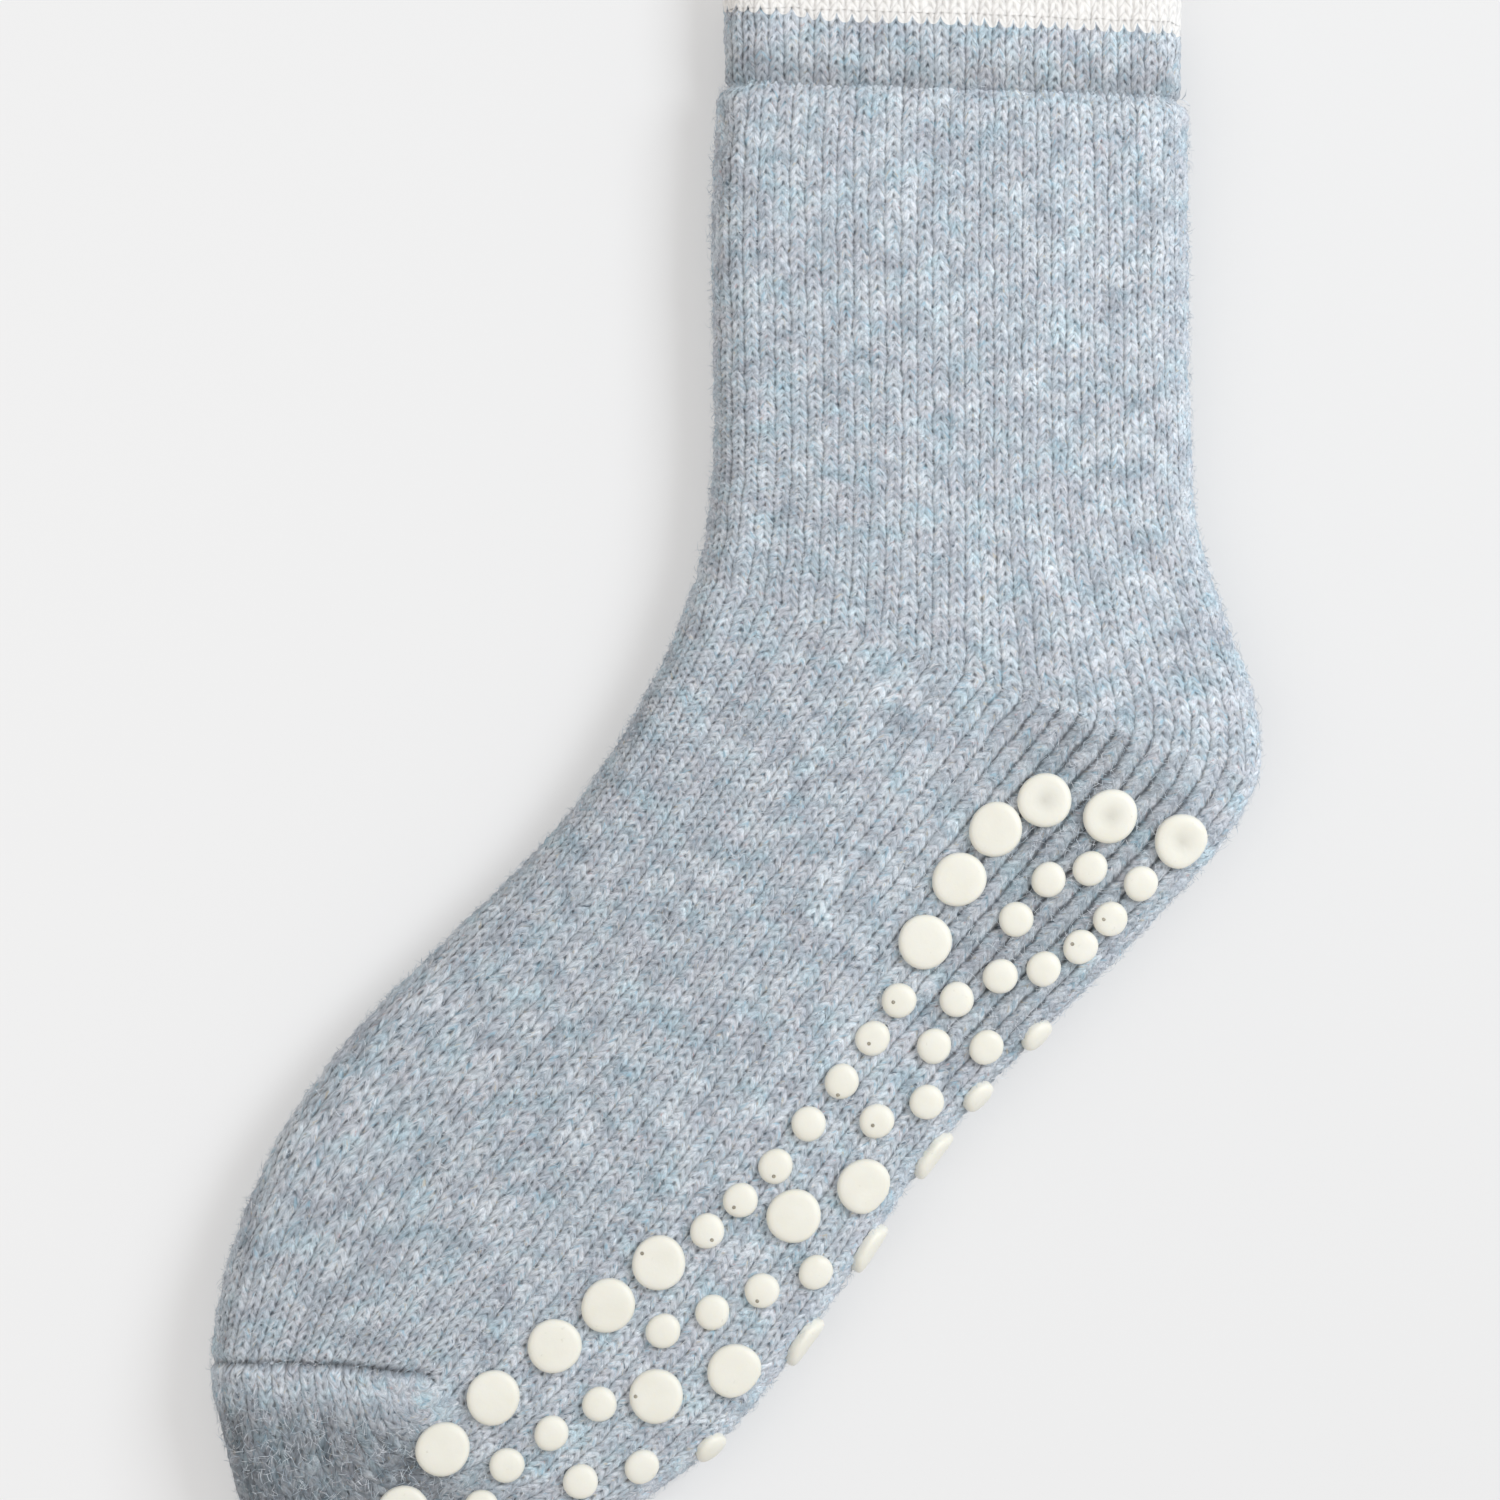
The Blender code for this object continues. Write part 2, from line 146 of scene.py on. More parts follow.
front_lean = np.concatenate((LEG_LEAN, FOOT_LEAN[1:]))
front_reach = np.concatenate((np.array(LEG_FRONT) * LEG_WIDTH, np.array(FOOT_FRONT[1:]) * FOOT_WIDTH))


def thickness(plan):
    """How thick the sock lies at a place: the foot is thicker than the leg, and swells at heel and toe."""
    blend = LEG_LENGTH * 0.40
    foot = ease((blend - plan[..., 1]) / (blend * 2.0))
    heel_middle = toward(-COURSE_ANGLE / 2.0) * (LEG_WIDTH * 0.36)
    toe_middle = TOE_GORE + toward(FOOT_RUN_ANGLE) * (FOOT_WIDTH * 0.22)
    heel = ease(1.0 - np.linalg.norm(plan - heel_middle, axis=-1) / (LEG_WIDTH * 0.5))
    toe = ease(1.0 - np.linalg.norm(plan - toe_middle, axis=-1) / (FOOT_WIDTH * 0.6))
    return LEG_THICK + (FOOT_THICK - LEG_THICK) * foot + HEEL_SWELL * heel + TOE_SWELL * toe


def section(middle, fold, lift, thick, columns, fan=None):
    """Points of one course line: from the gore line over the top, round the fold and back below.

    They lie evenly along the yarn. A heel course gives fan, its turn, so that its wales meet in a mitre.
    """
    reach = float(np.linalg.norm(middle - fold))
    bend = np.radians(np.arange(0.0, 91.0, 3.0))
    inset = np.concatenate((EDGE_ROUND * (1.0 - np.cos(bend)),
                            EDGE_ROUND + (reach - EDGE_ROUND) * np.linspace(0.0, 1.0, 41)[1:]))
    rise = np.concatenate((np.sin(bend), np.ones(40)))
    plan = fold + (middle - fold) * (inset / reach)[:, None]
    if fan is not None:
        turn, sharp = fan
        share = (1.0 - inset / reach)[:, None]
        corner = toward(-COURSE_ANGLE * turn) * sharp
        plan = share * ((1.0 - share ** 6) * corner + share ** 6 * (fold - middle)) + middle
    top = thick(plan)
    under = SOLE_LIFT * lift * ease((1.0 - inset / reach) / SOLE_LIFT_FADE)
    level = under + FOLD_LEVEL * (top - under)
    crown = ease((inset - EDGE_ROUND) / min(CROWN_RUN, reach - EDGE_ROUND))
    upper = level + (top - level) * rise * (EDGE_CROWN + (1.0 - EDGE_CROWN) * crown)
    lower = level - (level - under) * rise
    half = []
    for height in (upper, lower):
        way = np.concatenate((np.diff(plan, axis=0), np.diff(height)[:, None]), 1)
        run = np.concatenate(((0.0,), np.cumsum(np.linalg.norm(way, axis=1))))
        spots = np.linspace(0.0, run[-1], columns + 1)
        half.append(np.stack([np.interp(spots, run, each) for each in (plan[:, 0], plan[:, 1], height)], 1))
    return np.concatenate((half[0][::-1], half[1][1:]))


def tilt(height):
    return COLLAR_SLOPE * ease((height - 0.45) / 0.50)


def strip(at, front):
    """The course lines of the front or back strip at these places down it, as a grid of points."""
    lines = []
    for place in at:
        leg = 1.0 - place / LEG_LENGTH
        if front:
            reach = toward(180.0 - spline(front_at, front_lean, place) * COURSE_ANGLE)
            reach = reach * spline(front_at, front_reach, place)
            middle = TOE_GORE * (place - LEG_LENGTH) / FOOT_RUN
            if leg > 0:
                middle = np.array((0.0, leg * LEG_LENGTH))
            lift, fan = 0.0, None
        else:
            size = spline(back_at, back_reach, place)
            lift = float(np.interp(place, back_at, back_lift))
            fan = None
            if place <= heel_from:
                middle, course = np.array((0.0, leg * LEG_LENGTH)), 0.0
            elif place <= foot_from:
                turn = (place - heel_from) / HEEL_SPAN
                middle, course = np.zeros(2), -COURSE_ANGLE * turn
                bare = first_heel + (last_heel - first_heel) * turn
                bare = bare * (1.0 + HEEL_FULL * math.sin(math.pi * turn))
                fan = turn, bare / math.cos(math.radians(COURSE_ANGLE * min(turn, 1.0 - turn)))
            elif place <= toe_from:
                middle, course = TOE_GORE * (place - foot_from) / FOOT_RUN, -COURSE_ANGLE
            else:
                middle, course = TOE_GORE, -COURSE_ANGLE - TOE_SWEEP * (place - toe_from) / TOE_SPAN
            reach = toward(course) * size
        if leg > 0:
            reach = reach - np.array((0.0, reach[0] * tilt(leg)))
        lines.append(section(middle, middle + reach, lift, thickness, int(HALF_WALES * STITCH_COLUMNS), fan))
    return np.array(lines)


leg_rows = np.linspace(0.0, LEG_LENGTH, LEG_COURSES * STITCH_ROWS + 1)
heel_rows = np.linspace(heel_from, foot_from, HEEL_ROWS + 1)
foot_rows = np.linspace(0.0, FOOT_RUN, FOOT_COURSES * STITCH_ROWS + 1)
toe_rows = np.linspace(toe_from, toe_from + TOE_SPAN, TOE_ROWS + 1)
leg_front = strip(leg_rows, True)
leg_back = strip(leg_rows, False)
heel_back = strip(heel_rows, False)
foot_front = strip(LEG_LENGTH + foot_rows, True)
foot_back = strip(foot_from + foot_rows, False)
toe_back = strip(toe_rows, False)


# Each wale is a column of upturned V loops, because the sock is knitted from the collar down. The yarn's
# relief is real in the mesh, and the material adds the fibres on top of it.
STITCH_DEPTH = 0.00078
STITCH_SLANT = 0.95
STEM_GAP = 2.5
WALE_GAP = 2.8
WALE_BEAT = 0.55
WANDER = 0.034
WANDER_WAVES = 28


def outward(grid, back):
    """The direction out of the knitting at each point of a strip."""
    normal = np.cross(np.gradient(grid, axis=1), np.gradient(grid, axis=0))
    if back:
        normal = -normal
    size = np.linalg.norm(normal, axis=-1, keepdims=True)
    flat = np.where(grid[..., 2:] > LEG_THICK / 2.0, 1.0, -1.0) * np.array((0.0, 0.0, 1.0))
    return np.where(size > 1e-13, normal / np.maximum(size, 1e-13), flat)


def facings(runs, back):
    """The directions out of the knitting for strips that follow one another, alike in the rows they share."""
    whole = outward(np.concatenate([runs[0]] + [run[1:] for run in runs[1:]]), back)
    starts = np.cumsum([0] + [len(run) - 1 for run in runs])
    return [whole[start:start + len(run)] for start, run in zip(starts, runs)]


def loop_height(side, course, rib):
    """How far the yarn stands up, 0 to 1: side is the place across the wale, course the one along it.

    The gaps up the middle of a wale and between two wales are dashed by the loops. Where rib is 1 the wale
    is drawn together into a round cord, and the gap beside it is one deep line.
    """
    off = np.abs(side - 0.5) * 2.0
    grain = np.sin(math.pi * np.mod(course - STITCH_SLANT * off, 1.0)) ** 0.6
    stem = 0.50 + 0.22 * np.cos(2 * math.pi * course)
    stem = np.clip(1.0 - off * STEM_GAP, 0.0, 1.0) * stem * (1.0 - 0.8 * rib)
    between = 0.70 + 0.20 * np.cos(2 * math.pi * (course - WALE_BEAT))
    between = between + (1.00 - between) * rib
    between = np.clip(1.0 - (1.0 - off) * (WALE_GAP - 0.9 * rib), 0.0, 1.0) * between
    return (0.55 + 0.45 * grain) * (1.0 - stem) * (1.0 - between)


def slow_waves(grid):
    """Gentle unevenness of hand-laid knitting, from -1 to 1."""
    x, y = grid[..., 0], grid[..., 1]
    wave = np.sin(x * 151 + 2.1 * np.sin(y * 83)) + np.sin(y * 127 + 1.3 + 1.7 * np.sin(x * 97 + 0.6))
    return (wave + 0.6 * np.sin((x + y) * 263 + 1.9) + 0.5 * np.sin((x - 1.3 * y) * 331)) / 3.1


def wander(points):
    """A small shift of every point, so that no two loops are quite alike: the same where two strips meet."""
    draw = np.random.default_rng(7)
    shift = np.zeros_like(points)
    for wave in range(WANDER_WAVES):
        way = draw.normal(size=3)
        length = draw.uniform(0.0020, 0.0065)
        phase = points @ way * (2 * math.pi / (length * np.linalg.norm(way)))
        swing = np.sin(phase + draw.uniform(0.0, 6.28))
        shift += swing[..., None] * draw.normal(size=3) * length
    return shift * (WANDER / math.sqrt(WANDER_WAVES))


def trough(grid, start, end, width):
    """1 along a line between two places of the plan, fading out to its sides."""
    way = end - start
    length = np.linalg.norm(way)
    way = way / length
    place = grid[..., :2] - start
    along = place @ way
    off = np.abs(place @ np.array((-way[1], way[0])))
    past = np.maximum(np.maximum(-along, along - length), 0.0)
    return np.exp(-((off ** 2 + past ** 2) / width ** 2))


SEAM_SINK, SEAM_HALF_WIDTH, SEAM_ARCH = 0.00195, 0.00085, 0.0011
RIDGE_RISE, RIDGE_HALF_WIDTH, RIDGE_OFF = 0.00045, 0.0013, 0.0019
MITRE_SINK, MITRE_HALF_WIDTH = 0.00055, 0.0026
WAVE_SINK = 0.00030
SEAM_END = TOE_GORE + toward(180.0 - FOOT_LEAN[-1] * COURSE_ANGLE) * FOOT_FRONT[-1] * FOOT_WIDTH
MITRE_END = toward(-COURSE_ANGLE / 2.0) * 0.050


def hand_laid(grid, facing):
    """The strip with its soft folds: the heel's mitre, the arched seam over the toes, and slow waves."""
    way = SEAM_END - TOE_GORE
    length = np.linalg.norm(way)
    way = way / length
    place = grid[..., :2] - TOE_GORE
    along = np.clip((place @ way) / length, 0.0, 1.0)
    below = place @ np.array((way[1], -way[0]))
    laid = grid.copy()
    laid[..., 1] += SEAM_ARCH * np.sin(math.pi * along) * np.exp(-(below / 0.010) ** 2)
    fade = 0.35 + 0.65 * ease((1.0 - along) / 0.14)
    ridge = way[::-1] * np.array((-1.0, 1.0)) * RIDGE_OFF
    ridge = ridge * -np.sign(ridge[1])
    sink = MITRE_SINK * trough(grid, np.zeros(2), MITRE_END, MITRE_HALF_WIDTH)
    sink += SEAM_SINK * trough(grid, TOE_GORE, SEAM_END, SEAM_HALF_WIDTH) * fade
    sink -= RIDGE_RISE * trough(grid, TOE_GORE + ridge, SEAM_END + ridge, RIDGE_HALF_WIDTH) * fade
    sink += WAVE_SINK * (1.0 + slow_waves(grid)) / 2.0
    return laid - facing * sink[..., None]


def grid_quads(rows, columns, start):
    """The corners of each face of a grid whose points are numbered from start."""
    index = start + np.arange(rows * columns).reshape(rows, columns)
    return np.stack((index[:-1, :-1], index[:-1, 1:], index[1:, 1:], index[1:, :-1]), -1)


def new_piece(name, mesh):
    piece = bpy.data.objects.new(name, mesh)
    bpy.context.scene.collection.objects.link(piece)
    return piece


def joined_piece(name, verts, faces, maps, merge, ribs=None):
    """One piece from several grids, joined where their points meet, with the map of its stitches."""
    mesh = bpy.data.meshes.new(name)
    mesh.from_pydata(np.concatenate(verts).tolist(), [], np.concatenate(faces).tolist())
    layer = mesh.uv_layers.new(name="knit")
    layer.data.foreach_set("uv", np.concatenate(maps).astype(np.float32).ravel())
    if ribs is not None:
        ribbing = mesh.attributes.new("rib", "FLOAT", "POINT")
        ribbing.data.foreach_set("value", np.concatenate(ribs).astype(np.float32))
    shell = bmesh.new()
    shell.from_mesh(mesh)
    bmesh.ops.remove_doubles(shell, verts=shell.verts, dist=merge)
    shell.to_mesh(mesh)
    shell.free()
    mesh.shade_smooth()
    return new_piece(name, mesh)


def knit_mesh(name, parts):
    """A piece of knitting from parts: grid, facing, near and far courses, is it a back strip, depth, ribs."""
    verts, faces, maps, ribs = [], [], [], []
    start = 0
    for grid, facing, near_courses, far_courses, back, depth, rib in parts:
        rows, columns = grid.shape[:2]
        wale = np.arange(columns) / STITCH_COLUMNS
        middle = np.minimum(np.floor(wale), 2 * HALF_WALES - 1).astype(int)
        rib = np.broadcast_to(np.asarray(rib, float), (rows, columns))
        height = loop_height((wale - np.floor(wale))[None, :], near_courses[:, middle], rib)
        sunk = STITCH_DEPTH * (depth + 0.55 * rib) * (1.0 - np.clip(height, 0.0, 1.0))
        points = grid - facing * sunk[..., None] + wander(grid)
        points[..., :2] += GORE
        points[..., 2] = np.maximum(points[..., 2], 0.0)
        quad = grid_quads(rows, columns, start)
        u = np.stack((wale[:-1], wale[1:], wale[1:], wale[:-1]), -1) * (1.0 if back else -1.0)
        u = np.broadcast_to(u, (rows - 1, columns - 1, 4))
        near, far = near_courses[:-1][:, middle[:-1]], far_courses[1:][:, middle[:-1]]
        v = np.stack((near, near, far, far), -1)
        if back:
            quad, u, v = quad[..., ::-1], u[..., ::-1], v[..., ::-1]
        verts.append(points.reshape(-1, 3))
        faces.append(quad.reshape(-1, 4))
        maps.append(np.stack((u, v), -1).reshape(-1, 2))
        ribs.append(rib.ravel())
        start += rows * columns
    return joined_piece(name, verts, faces, maps, 0.000001, ribs)


def every_wale(numbers):
    """Course numbers of rows that run straight across, the same in every wale."""
    return np.repeat(np.asarray(numbers, float)[:, None], int(2 * HALF_WALES), 1)


# The marl is pale blue, grey and slate fibres spun together, with a few pink, sand and white ones, so that
# each loop differs a little and the colours drift along the courses. It is brushed, so it has a soft nap.
UNEVENNESS = 0.30
BLACK = (0.0, 0.0, 0.0)


def feed(tree, node, inputs):
    """Gives a node its inputs, each a number, a colour or the output of another node."""
    for name, value in dict(inputs).items():
        if isinstance(value, bpy.types.NodeSocket):
            tree.links.new(value, node.inputs[name])
        else:
            node.inputs[name].default_value = value


def add_node(tree, kind, inputs=(), **settings):
    node = tree.nodes.new("ShaderNode" + kind)
    for name, value in settings.items():
        setattr(node, name, value)
    feed(tree, node, inputs)
    return node


def calc(tree, operation, *values):
    return add_node(tree, "Math", enumerate(values), operation=operation).outputs[0]


def map_range(tree, value, start, end, low, high, kind="LINEAR"):
    """The value, moved from the range start to end into the range low to high."""
    return add_node(tree, "MapRange", {"Value": value, "From Min": start, "From Max": end, "To Min": low,
                                       "To Max": high}, interpolation_type=kind).outputs[0]


def mark_of(tree, mark):
    """The value of a mark on the points of the mesh, 0 where a piece has none."""
    return add_node(tree, "Attribute", attribute_name=mark).outputs["Fac"]


def stretched_noise(tree, vector, scale, detail, roughness=0.6, shift=(0.0, 0.0, 0.0)):
    """Noise on a map that is stretched by scale, and its value."""
    moved = add_node(tree, "Mapping", {"Vector": vector, "Location": shift, "Scale": scale}).outputs[0]
    noise = {"Vector": moved, "Scale": 1.0, "Detail": detail, "Roughness": roughness}
    return add_node(tree, "TexNoise", noise).outputs["Fac"]


def ramp(tree, value, *stops):
    """The colour at this value between stops, each a place and a colour."""
    node = add_node(tree, "ValToRGB", {0: value})
    while len(node.color_ramp.elements) < len(stops):
        node.color_ramp.elements.new(0.5)
    for element, (place, colour) in zip(node.color_ramp.elements, stops):
        element.position = place
        element.color = (*colour, 1.0)
    return node.outputs[0]


def blend_colours(tree, share, first, second, mode="MIX"):
    """The two colours mixed; each is the output of a node, or red, green and blue."""
    inputs = {0: share}
    for place, colour in ((6, first), (7, second)):
        inputs[place] = colour if isinstance(colour, bpy.types.NodeSocket) else (*colour, 1.0)
    return add_node(tree, "Mix", inputs, data_type="RGBA", blend_type=mode).outputs[2]


def tinted(tree, colour, tint):
    return blend_colours(tree, 1.0, colour, tint, "MULTIPLY")


def stitch_group():
    """Reads the knit map: height of the yarn, the order of its loops, and the way along its fibres."""
    group = bpy.data.node_groups.new("stitch_loops", "ShaderNodeTree")
    for name, kind in (("Height", "Float"), ("Loop", "Float"), ("Fibres", "Vector"), ("Courses", "Vector")):
        group.interface.new_socket(name=name, in_out="OUTPUT", socket_type="NodeSocket" + kind)
    times, less, scaled = (partial(calc, group, kind) for kind in ("MULTIPLY", "SUBTRACT", "MULTIPLY_ADD"))
    knit_map = add_node(group, "UVMap", uv_map="knit").outputs[0]
    felt, rib = mark_of(group, "felt"), mark_of(group, "rib")
    # The map is shaken a little, and more where the wool is felted.
    shake = add_node(group, "TexNoise", {"Vector": knit_map, "Scale": 0.55, "Detail": 2.0}).outputs["Color"]
    shake = add_node(group, "VectorMath", {0: shake, 1: (0.5, 0.5, 0.5)}, operation="SUBTRACT").outputs[0]
    size = scaled(felt, 3.0 * UNEVENNESS, UNEVENNESS)
    shake = add_node(group, "VectorMath", {0: shake, "Scale": size}, operation="SCALE").outputs[0]
    moved = add_node(group, "VectorMath", {0: knit_map, 1: shake}).outputs[0]
    wale, course = add_node(group, "SeparateXYZ", {0: moved}).outputs[:2]
    # The same loop as in loop_height.
    off = times(calc(group, "ABSOLUTE", less(calc(group, "FRACT", wale), 0.5)), 2.0)
    loop = less(course, times(off, STITCH_SLANT))
    grain = calc(group, "POWER", calc(group, "SINE", times(calc(group, "FRACT", loop), math.pi)), 0.6)
    beat = calc(group, "COSINE", times(course, 2 * math.pi))
    late = calc(group, "COSINE", times(less(course, WALE_BEAT), 2 * math.pi))
    stem = calc(group, "MAXIMUM", scaled(off, -STEM_GAP, 1.0), 0.0)
    stem = times(stem, scaled(beat, 0.22, 0.50))
    stem = times(stem, scaled(rib, -0.8, 1.0))
    between = scaled(late, 0.20, 0.70)
    between = scaled(less(1.0, between), rib, between)
    edge = times(less(1.0, off), scaled(rib, -0.9, WALE_GAP))
    between = times(calc(group, "MAXIMUM", less(1.0, edge), 0.0), between)
    # Here and there the gaps are open or closed, and felt fills them.
    mood = add_node(group, "TexNoise", {"Vector": knit_map, "Scale": 1.35, "Detail": 1.0}).outputs["Fac"]
    uneven = times(mood, 2.0)
    filled = scaled(felt, -0.6, 1.0)
    other = scaled(uneven, -0.7, 1.7)
    stem = times(calc(group, "MINIMUM", times(stem, uneven), 1.0), filled)
    between = times(calc(group, "MINIMUM", times(between, other), 1.0), filled)
    height = times(scaled(grain, 0.50, 0.50), less(1.0, stem))
    height = calc(group, "MAXIMUM", times(height, less(1.0, between)), 0.0)
    fibres = add_node(group, "CombineXYZ", {0: wale, 1: loop}).outputs[0]
    feed(group, group.nodes.new("NodeGroupOutput"),
         {"Height": height, "Loop": loop, "Fibres": fibres, "Courses": moved})
    return group


def yarn_group():
    """Colour of the marl yarn from its courses and fibres: drifting tones, single fibres and flecks, then
    painted shade down the foot and painted light on the back strip.
    """
    group = bpy.data.node_groups.new("marl_yarn", "ShaderNodeTree")
    for name in ("Courses", "Fibres"):
        group.interface.new_socket(name=name, in_out="INPUT", socket_type="NodeSocketVector")
    group.interface.new_socket(name="Color", in_out="OUTPUT", socket_type="NodeSocketColor")
    courses, fibres = group.nodes.new("NodeGroupInput").outputs[:2]
    drift = stretched_noise(group, courses, (0.42, 0.30, 1.0), 5.0, 0.66)
    tone = ramp(group, drift, (0.30, (0.505, 0.565, 0.620)), (0.42, (0.615, 0.685, 0.748)),
                (0.50, (0.700, 0.765, 0.825)), (0.58, (0.792, 0.838, 0.885)), (0.70, (0.755, 0.848, 0.908)))
    for scale, shift, low, high, most, tint in (
            ((0.34, 0.27, 1.0), (31.0, 7.0, 0.0), 0.44, 0.60, 0.85, (0.850, 0.820, 0.838)),
            ((0.38, 0.31, 1.0), (63.0, 17.0, 0.0), 0.50, 0.66, 0.90, (0.840, 0.975, 1.000))):
        patch = stretched_noise(group, courses, scale, 3.0, 0.6, shift)
        patch = ramp(group, patch, (low, BLACK), (high, (most, most, most)))
        tone = blend_colours(group, patch, tone, tint, "MULTIPLY")
    stripe = stretched_noise(group, fibres, (5.4, 2.1, 1.0), 5.0, 0.8)
    stripes = ramp(group, stripe, (0.33, (0.55, 0.57, 0.60)), (0.50, (1.0, 1.0, 1.0)),
                   (0.67, (1.30, 1.28, 1.26)))
    tone = tinted(group, tone, stripes)
    # Each leg of each loop has a tone of its own.
    cell = add_node(group, "VectorMath", {0: fibres, 1: (2.0, 1.0, 1.0)}, operation="MULTIPLY").outputs[0]
    cell = add_node(group, "VectorMath", {0: cell}, operation="FLOOR").outputs[0]
    chance = add_node(group, "TexWhiteNoise", {"Vector": cell}, noise_dimensions="2D").outputs["Value"]
    tone = tinted(group, tone, calc(group, "MULTIPLY_ADD", chance, 0.22, 0.89))
    for shift, scale, colour, low, high in (
            (11.0, (2.6, 1.6, 1.0), (0.93, 0.94, 0.96), 0.60, 0.70),
            (23.0, (2.9, 1.9, 1.0), (0.66, 0.47, 0.48), 0.64, 0.73),
            (37.0, (2.4, 1.5, 1.0), (0.66, 0.60, 0.48), 0.62, 0.72),
            (53.0, (2.2, 1.4, 1.0), (0.10, 0.15, 0.20), 0.60, 0.71),
            (71.0, (1.7, 1.2, 1.0), (0.41, 0.63, 0.76), 0.58, 0.70)):
        fleck = stretched_noise(group, fibres, scale, 2.0, 0.7, (shift, shift * 0.7, 0.0))
        tone = blend_colours(group, ramp(group, fleck, (low, BLACK), (high, (0.8, 0.8, 0.8))), tone, colour)
    # Painted shade and light: the yarn is painted darker down the foot, where the light falls off towards the
    # toe, and the back strip, on the key light's side, a little paler than the front.
    wale, course = add_node(group, "SeparateXYZ", {0: courses}).outputs[:2]
    tone = tinted(group, tone, map_range(group, course, 35.0, 105.0, 0.90, 0.82))
    tone = tinted(group, tone, map_range(group, wale, -10.0, 7.0, 0.98, 1.07))
    feed(group, group.nodes.new("NodeGroupOutput"), {"Color": tone})
    return group


def cavity(tree, height, dark):
    """Painted shade between the loops, from dark in the gaps up to 1.06, a faint painted highlight, on the
    tops of the yarn.
    """
    return map_range(tree, height, 0.02, 0.70, dark, 1.06, "SMOOTHSTEP")


def new_material(name):
    """A new material, its nodes and its shader."""
    material = bpy.data.materials.new(name)
    material.use_nodes = True
    return material, material.node_tree, material.node_tree.nodes["Principled BSDF"]


def bump(tree, height, distance, strength=1.0):
    relief = {"Strength": strength, "Distance": distance, "Height": height}
    return add_node(tree, "Bump", relief).outputs[0]


def yarn_material(name, body):
    """A knitted material: body draws the yarn's colour from the stitch group's outputs."""
    material, tree, shader = new_material(name)
    loops = add_node(tree, "Group", node_tree=stitches)
    hair = stretched_noise(tree, loops.outputs["Fibres"], (13.0, 4.5, 1.0), 3.0, 0.75, (5.0, 3.0, 0.0))
    height = calc(tree, "MULTIPLY_ADD", hair, 0.55, loops.outputs["Height"])
    feed(tree, shader, {
        "Base Color": body(tree, loops), "Roughness": map_range(tree, hair, 0.0, 1.0, 0.98, 0.80),
        "Normal": bump(tree, height, 0.00045), "Specular IOR Level": 0.25,
        "Sheen Weight": 0.30, "Sheen Roughness": 0.55, "Sheen Tint": (0.88, 0.93, 1.0, 1.0)})
    return material


def marl(tree, loops, dark=0.32):
    """The marl yarn, with painted shade where it is drawn into ribs or a seam, painted light along the sole's
    fold, and painted shade between its loops.
    """
    given = {name: loops.outputs[name] for name in ("Courses", "Fibres")}
    tone = add_node(tree, "Group", given, node_tree=marl_yarn).outputs["Color"]
    # Painted shade in the ribs and in the seam's crease, and painted light along the sole's fold.
    for mark, share in (("rib", -0.30), ("painted_fold_light", 0.18), ("seam", -0.50)):
        tone = tinted(tree, tone, calc(tree, "MULTIPLY_ADD", mark_of(tree, mark), share, 1.0))
    return tinted(tree, tone, cavity(tree, loops.outputs["Height"], dark))


stitches = stitch_group()
marl_yarn = yarn_group()
marl_knit = yarn_material("marl_knit", marl)

# The leg's top course is drawn in under the welt, and the wales near its front fold stand apart, where the
# flattened fabric turns.
leg_numbers = every_wale(leg_rows / COURSE)
drawn_in = 0.0018 * np.exp(-(leg_rows / 0.0014) ** 2) - 0.0005 * np.exp(-((leg_rows - 0.0036) / 0.0020) ** 2)
drawn_in = drawn_in[:, None, None]
from_gore = HALF_WALES - np.abs(np.arange(leg_front.shape[1]) / STITCH_COLUMNS - HALF_WALES)
edge_rib = 0.10 * np.exp(-((from_gore - (HALF_WALES - 2.6)) / 1.3) ** 2)
edge_rib = edge_rib * ease((LEG_LENGTH - leg_rows) / 0.030)[:, None]
leg_front_out, foot_front_out = facings((leg_front, foot_front), False)
leg_back_out, heel_back_out, foot_back_out, toe_back_out = facings(
    (leg_back, heel_back, foot_back, toe_back), True)


def uneven_depth(grid):
    """How deep the loops of a strip are, which changes slowly."""
    return 1.0 + 0.25 * slow_waves(grid)


leg_front_laid = hand_laid(leg_front, leg_front_out) - leg_front_out * drawn_in
leg_back_laid = hand_laid(leg_back, leg_back_out) - leg_back_out * drawn_in
leg_knit = knit_mesh("leg_knit", (
    (leg_front_laid, leg_front_out, leg_numbers, leg_numbers, False, uneven_depth(leg_front), edge_rib),
    (leg_back_laid, leg_back_out, leg_numbers, leg_numbers, True, uneven_depth(leg_back), 0.0),
))
leg_knit.data.materials.append(marl_knit)
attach(leg_knit, "root")
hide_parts("sock_body")


# Instep: the top of the foot, knitted on from the front of the leg in the same yarn, down to the seam over
# the toes, where its last course is linked to the toe's and drawn into a fine crease, darkened with painted
# shade.
def knit_points(piece):
    """Where the points of a piece are, as an array."""
    points = np.empty(len(piece.data.vertices) * 3)
    piece.data.vertices.foreach_get("co", points)
    return points.reshape(-1, 3)


def gap_to(points, line):
    """How far each point lies from a line, seen from above."""
    return np.min(np.linalg.norm(points[:, None, :2] - line[None, :, :], axis=-1), axis=1)


def marked(piece, mark, amount):
    """Marks the points of a piece, from 0 to 1, for its material to read."""
    piece.data.attributes.new(mark, "FLOAT", "POINT").data.foreach_set("value", amount.astype(np.float32))


foot_numbers = every_wale(LEG_COURSES + foot_rows / FOOT_RUN * FOOT_COURSES)
foot_front_laid = hand_laid(foot_front, foot_front_out)
instep_knit = knit_mesh("instep_knit", (
    (foot_front_laid, foot_front_out, foot_numbers, foot_numbers, False, uneven_depth(foot_front), 0.0),
))
toe_seam = foot_front_laid[-1, :, :2] + GORE
# How wide the painted shade of the seam's crease is.
SEAM_SHADE_WIDTH = 0.00055


